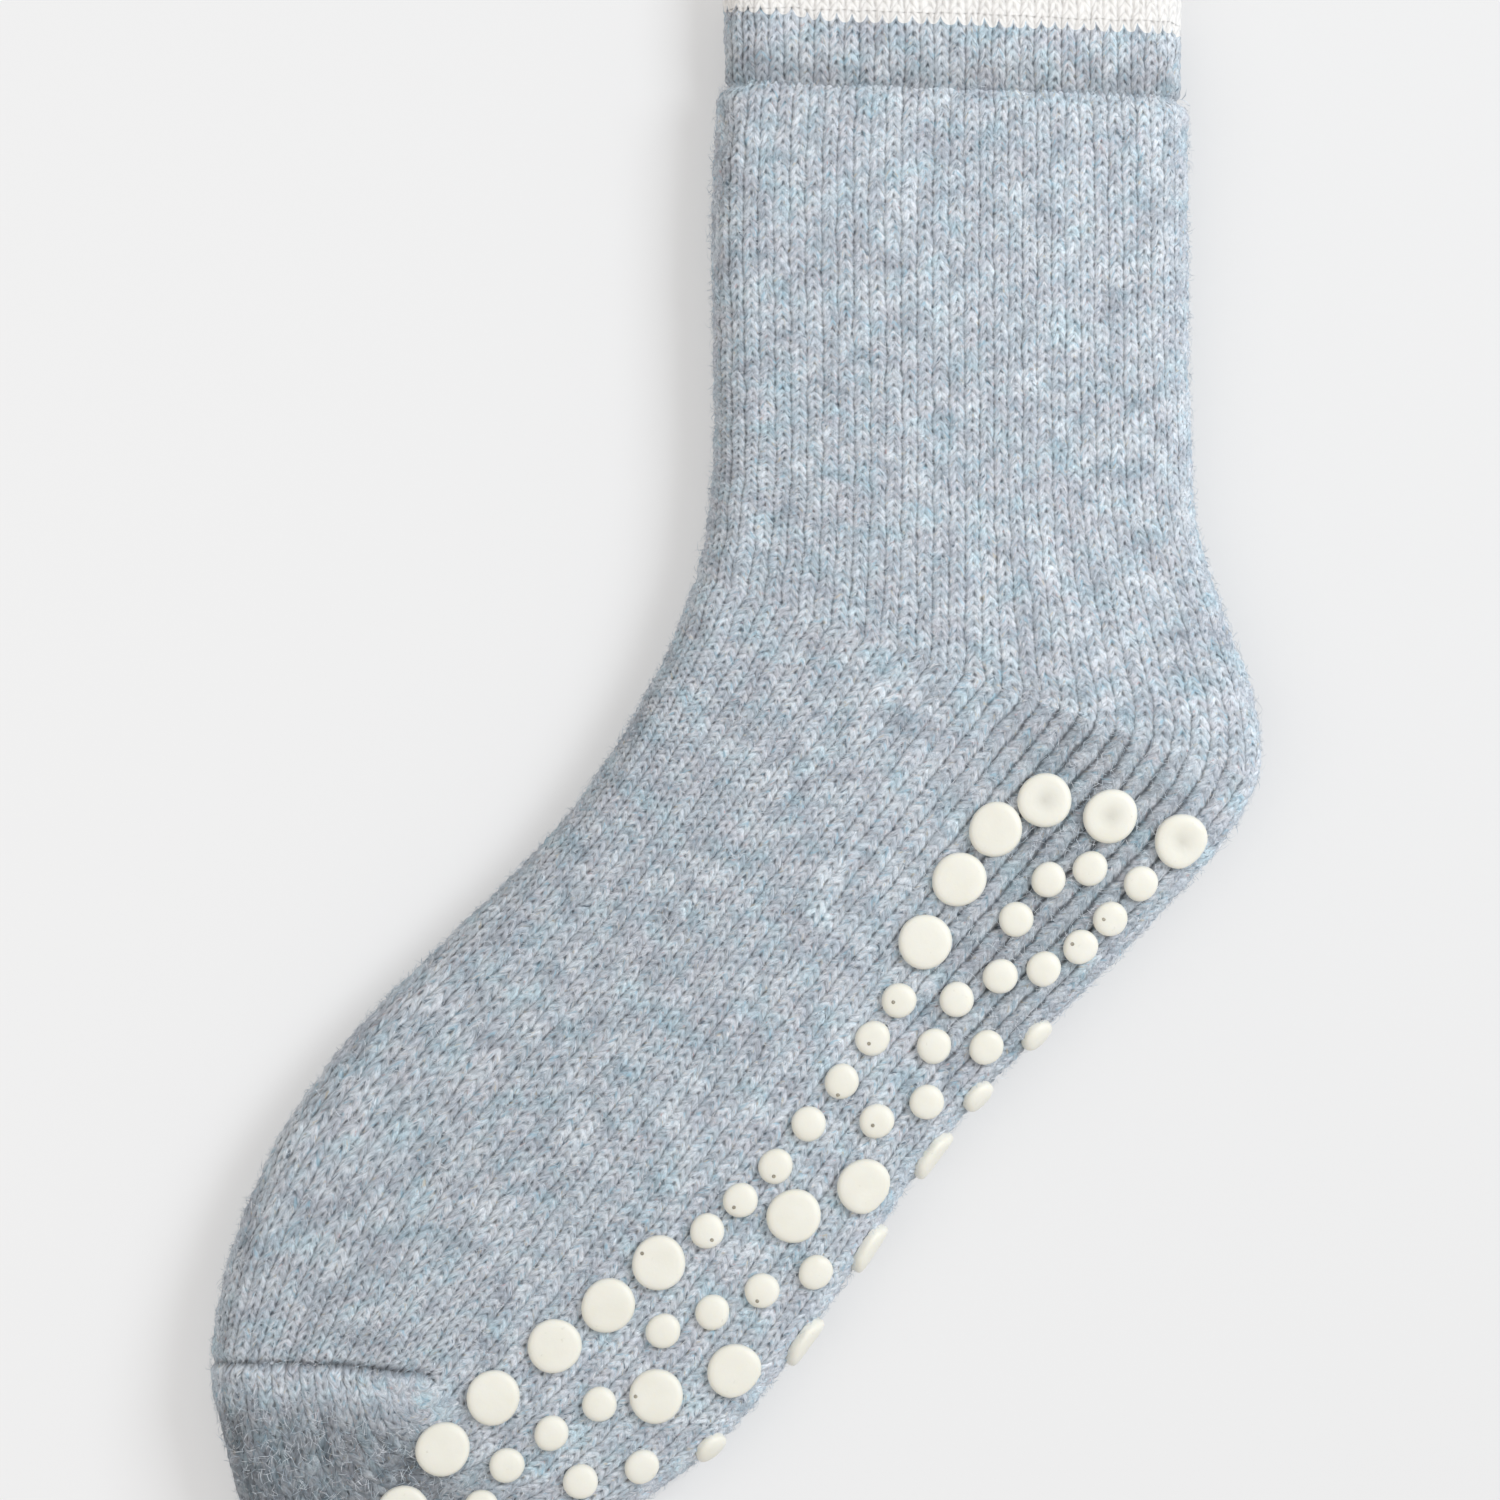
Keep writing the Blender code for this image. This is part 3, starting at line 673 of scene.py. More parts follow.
def mark_seam_shade(piece):
    """Marks the painted shade in the crease of the seam over the toes, which fades out at the gore's point.
    """
    points = knit_points(piece)
    from_point = np.linalg.norm(points[:, :2] - GORE - TOE_GORE, axis=1)
    crease = np.exp(-(gap_to(points, toe_seam) / SEAM_SHADE_WIDTH) ** 2)
    marked(piece, "seam", crease * ease((from_point - 0.0010) / 0.0030))


mark_seam_shade(instep_knit)
instep_knit.data.materials.append(marl_knit)
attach(instep_knit, "root")
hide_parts("sock_body")


# Heel and sole: the heel is turned with short rows, whose two sets of courses meet in a mitre on each
# side, and the sole goes on from it. Its wales are ribbed deeper where the silicone draws them together.
def down_each_wale(grid):
    """How far each row lies down each wale of a strip, from its first row."""
    wales = grid[:, STITCH_COLUMNS // 2::STITCH_COLUMNS]
    steps = np.linalg.norm(np.diff(wales, axis=0), axis=-1)
    return np.concatenate((np.zeros((1, wales.shape[1])), np.cumsum(steps, axis=0)))


heel_way = down_each_wale(heel_back)
mitre_row = HEEL_ROWS // 2
foot_course = FOOT_RUN / FOOT_COURSES
above = LEG_COURSES + heel_way / COURSE
below = LEG_COURSES - (heel_way[-1:] - heel_way) / foot_course
row_number = np.arange(HEEL_ROWS + 1)[:, None]
heel_near = np.where(row_number < mitre_row, above, below)
heel_far = np.where(row_number <= mitre_row, above, below)


# Where the wales are drawn into ribs: how much, its middle from the gore, and its reach along x and y.
RIBBED_HEEL = (1.15, 0.024, -0.024, 0.020, 0.024)
RIBBED_ARCH = (0.70, 0.008, -0.056, 0.018, 0.026)


def ribbed(grid, row_turn):
    """The ribs among the dots, below the heel's mitre and under the arch."""
    ribs = 0.0
    for much, x, y, wide, tall in (RIBBED_HEEL, RIBBED_ARCH):
        ribs = ribs + much * np.exp(-(((grid[..., 0] - x) / wide) ** 2 + ((grid[..., 1] - y) / tall) ** 2))
    return np.clip(ribs, 0.0, 1.0) * ease((row_turn - 0.48) / 0.06)[:, None]


def near_fold(points):
    """1 on the sole's fold, fading out 4 mm from it."""
    folds = np.concatenate([grid[:, grid.shape[1] // 2, :2] + GORE for grid in (heel_back, foot_back)])[::2]
    low = ease((0.012 - points[:, 1]) / 0.020)
    return (1.0 - ease((gap_to(points, folds) - 0.0012) / 0.0034)) * low


heel_back_laid = hand_laid(heel_back, heel_back_out)
foot_back_laid = hand_laid(foot_back, foot_back_out)
# The ribs are drawn deeper in the mesh, and darkened with painted shade in the marl.
heel_rib = ribbed(heel_back, np.linspace(0.0, 1.0, HEEL_ROWS + 1))
foot_rib = ribbed(foot_back, np.ones(len(foot_rows)))
heel_and_sole_knit = knit_mesh("heel_and_sole_knit", (
    (heel_back_laid, heel_back_out, heel_near, heel_far, True, uneven_depth(heel_back), heel_rib),
    (foot_back_laid, foot_back_out, foot_numbers, foot_numbers, True, uneven_depth(foot_back), foot_rib),
))
rim = near_fold(knit_points(heel_and_sole_knit))
marked(heel_and_sole_knit, "felt", 0.6 * rim)
# Painted light: the sole's fold is painted paler, on the key light's side.
marked(heel_and_sole_knit, "painted_fold_light", rim)
heel_and_sole_knit.data.materials.append(marl_knit)
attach(heel_and_sole_knit, "root")
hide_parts("sock_body")


# Toe: a short-row pocket that turns from the sole up over the toes, where it is linked to the instep in
# the seam. It is felted by walking, and painted darker away from the seam: partly wear, partly painted
# shade where the light falls off towards the toe.
toe_numbers = LEG_COURSES + FOOT_COURSES + down_each_wale(toe_back) / foot_course
toe_back_laid = hand_laid(toe_back, toe_back_out)
near_gore = ease(np.linalg.norm(toe_back[..., :2] - TOE_GORE, axis=-1) / 0.016)
toe_depth = (0.30 + 0.50 * near_gore) * (1.0 + 0.3 * slow_waves(toe_back))
toe_knit = knit_mesh("toe_knit", (
    (toe_back_laid, toe_back_out, toe_numbers, toe_numbers, True, toe_depth, 0.0),
))
toe_points = knit_points(toe_knit)[:, :2] - GORE - TOE_GORE
seam_way = (SEAM_END - TOE_GORE) / np.linalg.norm(SEAM_END - TOE_GORE)
below_seam = toe_points @ np.array((seam_way[1], -seam_way[0]))
from_point = np.linalg.norm(toe_points, axis=1)
off_sole = ease((toe_points @ toward(-COURSE_ANGLE - 90.0) - 0.001) / 0.015)
# Where the toe is painted darker: partly wear, partly painted shade.
marked(toe_knit, "wear_and_shade", ease((np.abs(below_seam) - 0.0012) / 0.0110) * off_sole)
marked(toe_knit, "felt", np.maximum(0.55 * ease(np.abs(below_seam) / 0.024) * off_sole,
                                    1.0 - ease((from_point - 0.004) / 0.010)))
mark_seam_shade(toe_knit)


def toe_marl(tree, loops):
    """The marl, darker away from the seam: worn and felted, and with painted shade where the light falls off
    towards the toe.
    """
    plain = marl(tree, loops, 0.34)
    patch = stretched_noise(tree, loops.outputs["Courses"], (0.36, 0.30, 1.0), 3.0, 0.65, (5.0, 41.0, 0.0))
    worn_and_shaded = ramp(tree, patch, (0.40, (0.32, 0.325, 0.33)), (0.60, (0.55, 0.55, 0.55)))
    return blend_colours(tree, mark_of(tree, "wear_and_shade"), plain, tinted(tree, plain, worn_and_shaded))


toe_knit.data.materials.append(yarn_material("worn_and_shaded_marl_knit", toe_marl))
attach(toe_knit, "root")
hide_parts("sock_body")


# Welt: the top of the sock is knitted twice as long and folded in, so it is doubled and a little narrower
# than the leg. Its lower half is blue like the leg, and its upper half and rolled edge are cream.
WELT_WIDTH = 0.0840
WELT_THICK = 0.0145
WELT_BAND = 0.0128
WELT_TIP = 0.0130
WELT_ROLL = 0.0017
TUCK = 0.0030
band_bottom = LEG_LENGTH + 0.0003
band_top = band_bottom + WELT_BAND
tip_bottom = band_top + 0.0003
welt_top = tip_bottom + WELT_TIP
fine = COURSE / STITCH_ROWS
rise_count = int(round((welt_top - WELT_ROLL - band_bottom + TUCK) / fine))
up = np.linspace(band_bottom - TUCK, welt_top - WELT_ROLL, rise_count + 1)
roll = np.linspace(0.0, math.pi, 13)[1:-1]
path_height = np.concatenate((up, welt_top - WELT_ROLL + WELT_ROLL * np.sin(roll), up[::-1]))
path_depth = np.concatenate((np.full(len(up), 2.0 * WELT_ROLL), WELT_ROLL * (1.0 + np.cos(roll)),
                             np.zeros(len(up))))
path_way = np.concatenate(((0.0,), np.cumsum(np.hypot(np.diff(path_height), np.diff(path_depth)))))
path_courses = (path_way - path_way[-1] + TUCK) / COURSE
tucked = ease((band_bottom - path_height) / TUCK + 0.15) * (path_depth < WELT_ROLL) * 0.0014


def welt_strip(back):
    """The welt's knitting, from the bottom of its inner layer up, over the rolled edge and down outside."""
    share = LEG_BACK[0] if back else -LEG_FRONT[0]
    out = share * WELT_WIDTH / (LEG_BACK[0] + LEG_FRONT[0])
    rings = []
    for height in path_height:
        middle = np.array((0.0, height))
        fold = middle + np.array((out, -out * COLLAR_SLOPE))
        rings.append(section(middle, fold, 0.0, lambda plan: WELT_THICK + plan[..., 0] * 0.0, 70))
    rings = np.array(rings)
    flat = rings.copy()
    flat[..., 1] = -np.arange(len(rings))[:, None] * fine
    normal = outward(flat, back)
    bulk = WAVE_SINK * (slow_waves(rings) + 1.0) * (path_depth < WELT_ROLL)[:, None]
    return rings - normal * ((path_depth + tucked)[:, None] + bulk)[..., None]


def welt_colour(tree, loops):
    """Cream above the change of yarn, which follows the loops in points, and marl below it."""
    courses = loops.outputs["Courses"]
    wale, course = add_node(tree, "SeparateXYZ", {0: courses}).outputs[:2]
    # Painted shade: the marl is darkened unevenly where the welt goes down behind the leg, under its top
    # edge.
    tuck_shade = stretched_noise(tree, courses, (0.30, 0.10, 1.0), 3.0, 0.6, (9.0, 2.0, 0.0))
    tuck_shade = calc(tree, "MULTIPLY_ADD", tuck_shade, 5.0, calc(tree, "SUBTRACT", course, 2.5))
    marled = tinted(tree, marl(tree, loops), map_range(tree, tuck_shade, -4.2, 0.2, 0.94, 0.67, "SMOOTHSTEP"))
    soft = stretched_noise(tree, loops.outputs["Fibres"], (3.0, 1.4, 1.0), 3.0, 0.6, (3.0, 9.0, 0.0))
    cream = ramp(tree, soft, (0.35, (0.880, 0.855, 0.820)), (0.65, (0.915, 0.895, 0.865)))
    cream = tinted(tree, cream, cavity(tree, loops.outputs["Height"], 0.86))
    edge = map_range(tree, wale, -17.5, -8.0, -6.9, -5.9)
    off = calc(tree, "SUBTRACT", course, loops.outputs["Loop"])
    spike = calc(tree, "POWER", calc(tree, "MULTIPLY_ADD", off, -1.0 / STITCH_SLANT, 1.0), 3.0)
    outside = calc(tree, "LESS_THAN", calc(tree, "MULTIPLY_ADD", spike, 0.85, course), edge)
    inside = calc(tree, "GREATER_THAN", course, -23.5)
    return blend_colours(tree, calc(tree, "MULTIPLY", outside, inside), marled, cream)


welt_knit_material = yarn_material("welt_knit", welt_colour)
welt_numbers = every_wale(path_courses)
welt_front, welt_back = welt_strip(False), welt_strip(True)
inner_top = int(np.searchsorted(path_height[:len(up)], band_top))
outer_top = len(path_height) - 1 - inner_top
for name, rows_of_piece, node, finish, relief in (
        ("welt_band_knit", (slice(0, inner_top + 1), slice(outer_top, None)), "welt_band", "welt_knit", 0.9),
        ("welt_tip_knit", (slice(inner_top, outer_top + 1),), "welt_tip", "cream_knit", 0.35)):
    parts = []
    for rows in rows_of_piece:
        for grid, back in ((welt_front, False), (welt_back, True)):
            numbers = welt_numbers[rows]
            parts.append((grid[rows], outward(grid, back)[rows], numbers, numbers, back, relief, 0.0))
    piece = knit_mesh(name, parts)
    piece.data.materials.append(welt_knit_material)
    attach(piece, "root")
    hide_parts(node)


# Inside: the back of the same knitting, which shows through the collar as rows of small purl bumps. It is
# the inner face of the wall, a coarser mesh with one face to a stitch.
WALL = 0.0024
all_strips = ((leg_front, False), (leg_back, True), (heel_back, True), (foot_front, False), (foot_back, True),
              (toe_back, True))


def inner_mesh(name):
    points, faces, maps, start = [], [], [], 0
    for grid, back in all_strips:
        inner = (grid - outward(grid, back) * WALL)[::STITCH_ROWS, ::STITCH_COLUMNS]
        inner[..., :2] += GORE
        inner[..., 2] = np.clip(inner[..., 2], WALL, None)
        rows, columns = inner.shape[:2]
        quad = grid_quads(rows, columns, 0)
        if not back:
            quad = quad[..., ::-1]
        points.append(inner.reshape(-1, 3))
        faces.append((quad + start).reshape(-1, 4))
        maps.append(np.stack((quad % columns, quad // columns), -1).reshape(-1, 2))
        start += rows * columns
    return joined_piece(name, points, faces, maps, 0.00001)


def purl_material():
    """The marl yarn in wavy rows of bumps, with painted shade between them."""
    material, tree, shader = new_material("purl_side")
    knit_map = add_node(tree, "UVMap", uv_map="knit").outputs[0]
    yarn = add_node(tree, "Group", {"Courses": knit_map, "Fibres": knit_map}, node_tree=marl_yarn)
    wale, course = add_node(tree, "SeparateXYZ", {0: knit_map}).outputs[:2]
    turn = calc(tree, "SINE", calc(tree, "MULTIPLY", wale, 2.0 * math.pi))
    row = calc(tree, "FRACT", calc(tree, "MULTIPLY_ADD", turn, 0.16, course))
    bumps = calc(tree, "SINE", calc(tree, "MULTIPLY", row, math.pi))
    feed(tree, shader, {
        "Base Color": tinted(tree, yarn.outputs["Color"], cavity(tree, bumps, 0.5)),
        "Normal": bump(tree, bumps, 0.0006), "Roughness": 0.95, "Sheen Weight": 0.3})
    return material


sock_inside = inner_mesh("sock_inside")
sock_inside.data.materials.append(purl_material())
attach(sock_inside, "root")
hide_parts("sock_body")


# Grip dots: drops of cream silicone printed on both halves of the sole and on the fold between them.
# Their feet sink into the loops, their tops are smooth and slightly domed, and the heel's have a dimple.
BIG_DOT = 0.0096
SMALL_DOT = 0.0062
DOT_STRETCH = 1.05
DOT_TALL = 0.0015

# Each dot's place is a share of the foot's run from the heel gore and a share of its width from the gore
# line. A scratch program found 44 of the 50 pairs by the dots' colour in the photo, and 6 are by hand.
BIG_DOTS = ((-0.012, 0.530), (0.018, 0.391), (0.052, 0.271), (0.113, 0.230), (0.183, 0.233),
            (0.262, 0.254), (0.519, 0.448), (0.596, 0.375), (0.735, 0.222), (0.809, 0.194),
            (0.883, 0.159), (0.972, 0.125), (1.053, 0.108), (1.137, 0.122), (1.210, 0.168),
            (0.774, 0.466), (0.853, 0.375))
SMALL_DOTS = ((0.054, 0.518), (0.078, 0.422), (0.107, 0.513), (0.118, 0.371), (0.153, 0.500),
              (0.176, 0.368), (0.199, 0.469), (0.237, 0.411), (0.289, 0.371), (0.309, 0.473),
              (0.332, 0.283), (0.346, 0.391), (0.384, 0.287), (0.400, 0.446), (0.444, 0.290),
              (0.453, 0.391), (0.505, 0.289), (0.566, 0.288), (0.621, 0.274), (0.672, 0.259),
              (0.629, 0.475), (0.684, 0.414), (0.739, 0.363), (0.791, 0.309), (0.901, 0.297),
              (0.961, 0.257), (1.021, 0.226), (1.076, 0.236), (0.925, 0.437), (0.982, 0.359),
              (1.138, 0.253), (1.043, 0.351), (1.109, 0.339))
BIG_FOLD_DOTS = (0.443, 0.571, 0.700)
SMALL_FOLD_DOTS = (0.262, 0.358, 0.860)
DIMPLE = 0.30
DIMPLED_TO = 0.10
FULL_PROFILE = ((1.00, -0.35), (1.00, 0.20), (0.985, 0.48), (0.94, 0.72), (0.86, 0.88), (0.72, 0.96),
                (0.48, 0.995), (0.24, 1.00))
SMALL_PROFILE = ((1.00, -0.35), (1.00, 0.15), (0.97, 0.42), (0.90, 0.64), (0.78, 0.81), (0.60, 0.92),
                 (0.34, 0.985))


def seat_tree():
    """The smooth outside of the sock, for seating dots on it."""
    points, quads, start = [], [], 0
    for grid, back in all_strips:
        own = grid[::2, ::2].copy()
        own[..., :2] += GORE
        quads.append(grid_quads(*own.shape[:2], start).reshape(-1, 4))
        points.append(own.reshape(-1, 3))
        start += len(points[-1])
    return BVHTree.FromPolygons(np.concatenate(points).tolist(), np.concatenate(quads).tolist())


outside = seat_tree()
HALF_WAY_UP = 0.0078


def away_from_middle(spot, normal):
    """The surface's direction, turned to point out of the sock."""
    if abs(normal.z) > 0.25:
        outward_now = (normal.z > 0.0) == (spot.z > HALF_WAY_UP)
    else:
        outward_now = normal.dot(Vector((*toward(-COURSE_ANGLE), 0.0))) > 0.0
    return normal if outward_now else -normal


def on_sole(along, out, height):
    place = TOE_GORE * along + toward(-COURSE_ANGLE) * (out * FOOT_WIDTH) + GORE
    return Vector((place[0], place[1], height))


def grip_dot(shell, centre, normal, radius, profile, sides, dimple, seed):
    """One dot on the sock: its rings follow the knitting below and level out towards its top."""
    # How much painted shade each point of a dimple gets.
    dimple_shade = shell.verts.layers.float.get("dimple") or shell.verts.layers.float.new("dimple")
    foot_way = Vector((*toward(FOOT_RUN_ANGLE), 0.0))
    side = (foot_way - normal * foot_way.dot(normal)).normalized()
    across = normal.cross(side)
    wobble = [1.0 + 0.014 * math.sin(2 * a + seed * 2.3) + 0.010 * math.sin(3 * a + seed * 5.1)
              for a in np.linspace(0.0, 2.0 * math.pi, sides, endpoint=False)]
    rings = []
    for out, rise in profile:
        ring = []
        for index, bend in enumerate(np.linspace(0.0, 2.0 * math.pi, sides, endpoint=False)):
            reach = radius * out * wobble[index]
            spot = centre + side * (math.cos(bend) * reach * DOT_STRETCH) + across * (math.sin(bend) * reach)
            seat, facing = outside.find_nearest(spot)[:2]
            facing = away_from_middle(seat, facing)
            sunk = dimple * max(0.0, 1.0 - out / 0.62) ** 0.8
            vert = shell.verts.new(seat + facing * (DOT_TALL * (rise - sunk)))
            vert[dimple_shade] = 2.2 * dimple * max(0.0, 1.0 - out / 0.55)
            ring.append(vert)
        rings.append(ring)
    for low, high in zip(rings[:-1], rings[1:]):
        for index in range(sides):
            after = (index + 1) % sides
            shell.faces.new((low[index], low[after], high[after], high[index])).smooth = True
    crown = shell.verts.new(centre + normal * (DOT_TALL * (1.0 - dimple * 0.95)))
    crown[dimple_shade] = 2.4 * dimple
    for index in range(sides):
        shell.faces.new((rings[-1][index], rings[-1][(index + 1) % sides], crown)).smooth = True


def silicone_material():
    """Cream silicone: satin, a little see-through at its rim, with faint specks and cast marks, and painted
    shade in the dimples.
    """
    material, tree, shader = new_material("cream_silicone_dot")
    place = add_node(tree, "TexCoord").outputs["Object"]
    cloud = stretched_noise(tree, place, (160.0, 160.0, 160.0), 2.0)
    cream = ramp(tree, cloud, (0.30, (0.755, 0.738, 0.655)), (0.70, (0.790, 0.778, 0.705)))
    # Painted shade, darker towards the middle of a dimple.
    cream = blend_colours(tree, mark_of(tree, "dimple"), cream, (0.57, 0.555, 0.490))
    speck = stretched_noise(tree, place, (900.0, 900.0, 900.0), 2.0, 0.5, (3.0, 5.0, 7.0))
    speck = ramp(tree, speck, (0.70, BLACK), (0.80, (0.35, 0.35, 0.35)))
    skin = stretched_noise(tree, place, (1400.0, 1400.0, 1400.0), 2.0)
    feed(tree, shader, {
        "Base Color": blend_colours(tree, speck, cream, (0.52, 0.50, 0.42)),
        "Roughness": map_range(tree, cloud, 0.0, 1.0, 0.34, 0.55), "Normal": bump(tree, skin, 0.0001, 0.25),
        "Subsurface Weight": 0.25, "Subsurface Scale": 0.0012, "Subsurface Radius": (1.0, 0.85, 0.6),
        "IOR": 1.41})
    return material


def seats(chart, fold_chart):
    """Place and direction of each dot: the upper half, the under half, then those on the fold."""
    found = []
    for side in (1.0, -1.0):
        for along, out in chart:
            spot = on_sole(along, out, 0.05 * side)
            found.append((along, *outside.ray_cast(spot, Vector((0.0, 0.0, -side)))[:2]))
    for along in fold_chart:
        inset, lift = (0.0009, 0.0038) if chart is SMALL_DOTS else (0.0, 0.0014)
        reach = float(np.interp(along, FOOT_AT, FOOT_BACK))
        spot = on_sole(along, reach - inset / FOOT_WIDTH, FOLD_LEVEL * FOOT_THICK + lift)
        found.append((along, *outside.find_nearest(spot)[:2]))
    return [(along, seat, away_from_middle(seat, normal)) for along, seat, normal in found]


silicone = silicone_material()
for name, radius, chart, fold_chart, profile, sides in (
        ("big_grip_dots", BIG_DOT / 2.0, BIG_DOTS, BIG_FOLD_DOTS, FULL_PROFILE, 36),
        ("small_grip_dots", SMALL_DOT / 2.0, SMALL_DOTS, SMALL_FOLD_DOTS, SMALL_PROFILE, 26)):
    shell = bmesh.new()
    for order, (along, seat, normal) in enumerate(seats(chart, fold_chart)):
        dimple = DIMPLE if chart is BIG_DOTS and along < DIMPLED_TO else 0.0
        grip_dot(shell, seat, normal, radius, profile, sides, dimple, order)
    mesh = bpy.data.meshes.new(name)
    shell.to_mesh(mesh)
    shell.free()
    piece = new_piece(name, mesh)
    piece.data.materials.append(silicone)
    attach(piece, "root")
    if name == "big_grip_dots":
        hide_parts(*["grip_dot_%02d" % number for number in range(1, 38)])


# Burst bubbles: a few of the dots have a pinhole where air came out of the silicone as it set. Each is a
# shallow lens on the dot's surface, at a place in millimetres, painted dark as the shade in the hole.
BUBBLES = ((66.6, -24.5), (60.9, -29.0), (28.5, -39.5), (24.1, -47.0), (18.5, -56.3), (24.8, -61.8),
           (6.9, -71.0), (-0.3, -76.6), (-4.3, -82.5), (3.9, -93.6), (-16.9, -84.9), (-18.1, -110.8))
BUBBLE_RADIUS = 0.00036
BUBBLE_FLATNESS = 0.10
bpy.ops.mesh.primitive_uv_sphere_add(segments=14, ring_count=8, radius=BUBBLE_RADIUS,
                                     location=(0.0, 0.0, 0.0))
bubble_pits = bpy.context.object
bubble_pits.name = "bubble_pits"
shell = bmesh.new()
shell.from_mesh(bubble_pits.data)
pit = [vert.co.copy() for vert in shell.verts]
pit_faces = [[vert.index for vert in face.verts] for face in shell.faces]
shell.clear()
tops = [BVHTree.FromObject(bpy.data.objects[name], bpy.context.evaluated_depsgraph_get())
        for name in ("small_grip_dots", "big_grip_dots")]
for x, y in BUBBLES:
    above = Vector((x / 1000.0, y / 1000.0, 0.05))
    hits = [top.ray_cast(above, Vector((0.0, 0.0, -1.0)))[:2] for top in tops]
    seat, facing = max((hit for hit in hits if hit[0] is not None), key=lambda hit: hit[0].z)
    turn = facing.to_track_quat("Z", "Y")
    made = [shell.verts.new(seat + turn @ Vector((spot.x, spot.y, spot.z * BUBBLE_FLATNESS))) for spot in pit]
    for corners in pit_faces:
        shell.faces.new([made[corner] for corner in corners]).smooth = True
shell.to_mesh(bubble_pits.data)
shell.free()
# Painted shade: the lens is coloured dark in place of the shade down the pinhole.
pit_shade, tree, shader = new_material("bubble_pit_shade")
pit_shade_tone = stretched_noise(tree, add_node(tree, "TexCoord").outputs["Object"], (2600.0, 2600.0, 2600.0), 2.0)
pit_shade_tone = ramp(tree, pit_shade_tone, (0.35, (0.22, 0.20, 0.15)), (0.65, (0.40, 0.37, 0.30)))
feed(tree, shader, {"Base Color": pit_shade_tone, "Roughness": 0.8})
bubble_pits.data.materials.append(pit_shade)
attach(bubble_pits, "root")


# Loose fibres: the nap of the brushed yarn, fine ends of fibre that stand out of the loops all over the
# sock. Each is a thin curved blade whose root lies in the knitting.
FIBRE_COUNT = 60000
FIBRE_WIDTH = 0.000065
FIBRE_SHORTEST, FIBRE_LONGEST = 0.0006, 0.0016
ROOT_DEPTH = 0.0003
draw = np.random.default_rng(19)
fibre_verts, fibre_faces = [], []
shares = [np.linalg.norm(np.cross(np.diff(grid, axis=1)[:-1], np.diff(grid, axis=0)[:, :-1]), axis=-1)
          for grid, back in all_strips]
whole = sum(cell.sum() for cell in shares)
for (grid, back), cell in zip(all_strips, shares):
    count = int(FIBRE_COUNT * cell.sum() / whole)
    chosen = draw.choice(cell.size, count, p=cell.ravel() / cell.sum())
    root = grid[:-1, :-1].reshape(-1, 3)[chosen]
    facing = outward(grid, back)[:-1, :-1].reshape(-1, 3)[chosen]
    lay = draw.normal(size=(count, 3))
    lay -= facing * np.sum(lay * facing, axis=1, keepdims=True)
    lay /= np.linalg.norm(lay, axis=1, keepdims=True)
    aside = np.cross(facing, lay)
    length = draw.uniform(FIBRE_SHORTEST, FIBRE_LONGEST, (count, 1))
    lift = draw.uniform(0.02, 0.60, (count, 1)) ** 1.5
    curl = draw.normal(size=(count, 1)) * 0.5
    middle = root + lay * length + facing * length * lift
    rise = lift * draw.uniform(-0.6, 1.0, (count, 1))
    tip = middle + (lay + aside * curl) * length * 0.9 + facing * length * rise
    root = root - facing * ROOT_DEPTH
    wide = (aside + facing * draw.normal(size=(count, 1)) * 0.5) * FIBRE_WIDTH / 2.0
    start = sum(len(each) for each in fibre_verts)
    corners = np.stack((root - wide, root + wide, middle + wide, middle - wide, tip), 1)
    corners[..., :2] += GORE
    corners[..., 2] = np.maximum(corners[..., 2], 0.00002)
    fibre_verts.append(corners.reshape(-1, 3))
    index = start + np.arange(count)[:, None] * 5
    fibre_faces += (index + np.array((0, 1, 2, 3))).tolist() + (index + np.array((3, 2, 4))).tolist()
fibre_mesh = bpy.data.meshes.new("loose_fibres")
fibre_mesh.from_pydata(np.concatenate(fibre_verts).tolist(), [], fibre_faces)
loose_fibres = new_piece("loose_fibres", fibre_mesh)
nap, tree, shader = new_material("nap_fibre")
mixed = stretched_noise(tree, add_node(tree, "TexCoord").outputs["Object"], (420.0, 420.0, 420.0), 2.0)
mixed = ramp(tree, mixed, (0.36, (0.27, 0.33, 0.39)), (0.48, (0.48, 0.55, 0.61)), (0.60, (0.70, 0.73, 0.77)))
feed(tree, shader, {"Base Color": mixed, "Roughness": 0.85, "Sheen Weight": 0.3})
loose_fibres.data.materials.append(nap)
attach(loose_fibres, "root")
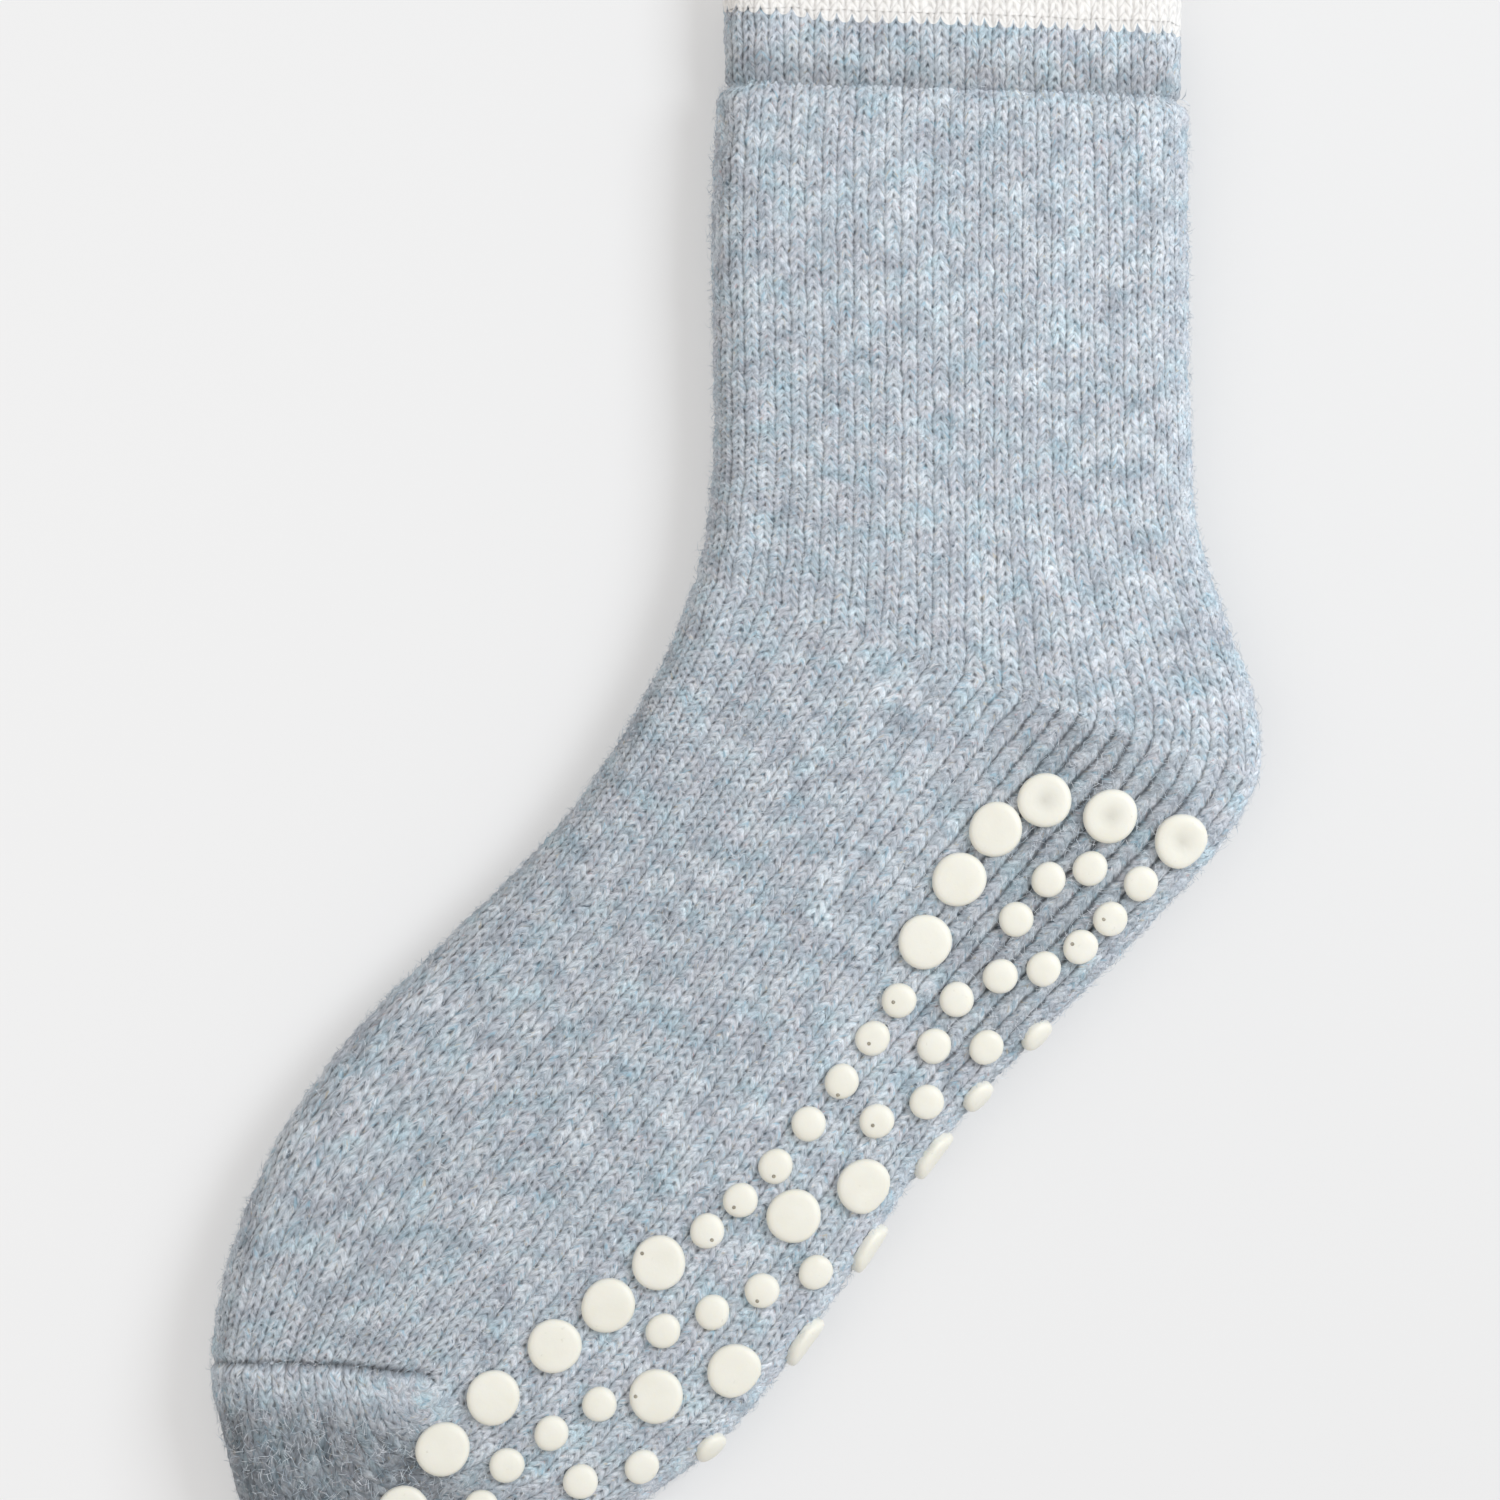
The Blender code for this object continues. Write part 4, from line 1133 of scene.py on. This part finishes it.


# Camera and light: the camera is straight above the sock, with a soft key light from the upper right and a
# wide fill from the left. The pale floor glows faintly, painted light that lifts the shadows on it, and is
# painted a little darker to the right, towards the key light, so that it comes out evenly bright.
SHOT_WIDTH = 0.2727
SHOT_MIDDLE = (0.0026, 0.0061)
LENS = 135.0
SENSOR = 36.0
LENS_HEIGHT = SHOT_WIDTH * LENS / SENSOR + 0.012
bpy.ops.object.camera_add(location=(*SHOT_MIDDLE, LENS_HEIGHT), rotation=(0.0, 0.0, 0.0))
camera = bpy.context.object
camera.data.lens = LENS
camera.data.sensor_width = SENSOR
bpy.context.scene.camera = camera

bpy.ops.mesh.primitive_plane_add(size=6.0, location=(0.0, 0.0, -0.0003))
floor = bpy.context.object
floor.name = "pale_floor"
glowing_floor, tree, shader = new_material("pale_glowing_floor")
turned = add_node(tree, "Mapping", {
    "Vector": add_node(tree, "TexCoord").outputs["Object"], "Location": (0.5, 0.0, 0.0),
    "Rotation": (0.0, 0.0, -math.radians(25.0)), "Scale": (1.0 / 0.44, 1.0, 1.0)})
across = add_node(tree, "TexGradient", {"Vector": turned.outputs[0]}).outputs["Fac"]
# Painted light: the floor's glow lifts the sock's shadow, and its colour is darker towards the key light to
# even out its pool of light.
feed(tree, shader, {
    "Base Color": ramp(tree, across, (0.0, (0.520, 0.520, 0.520)), (1.0, (0.392, 0.390, 0.388))),
    "Emission Color": (1.0, 1.0, 1.0, 1.0), "Emission Strength": 0.340, "Roughness": 0.9})
floor.data.materials.append(glowing_floor)


def soft_light(name, place, size, power, colour):
    """A square soft box that faces the sock."""
    light = bpy.data.lights.new(name, "AREA")
    light.size = size
    light.energy = power
    light.color = colour
    lamp = bpy.data.objects.new(name, light)
    lamp.location = place
    lamp.rotation_euler = (-Vector(place)).to_track_quat("-Z", "Y").to_euler()
    bpy.context.scene.collection.objects.link(lamp)


soft_light("key_light", (0.70, 0.32, 0.75), 0.5, 7.4, (0.95, 1.0, 1.05))
soft_light("fill_light", (-0.90, -0.20, 1.30), 1.2, 3.4, (1.0, 0.97, 0.94))
world = bpy.data.worlds.new("studio")
world.use_nodes = True
backdrop = world.node_tree.nodes["Background"]
feed(world.node_tree, backdrop, {"Color": (1.0, 0.975, 0.955, 1.0), "Strength": 0.65})
bpy.context.scene.world = world
bpy.context.scene.view_settings.view_transform = "Standard"
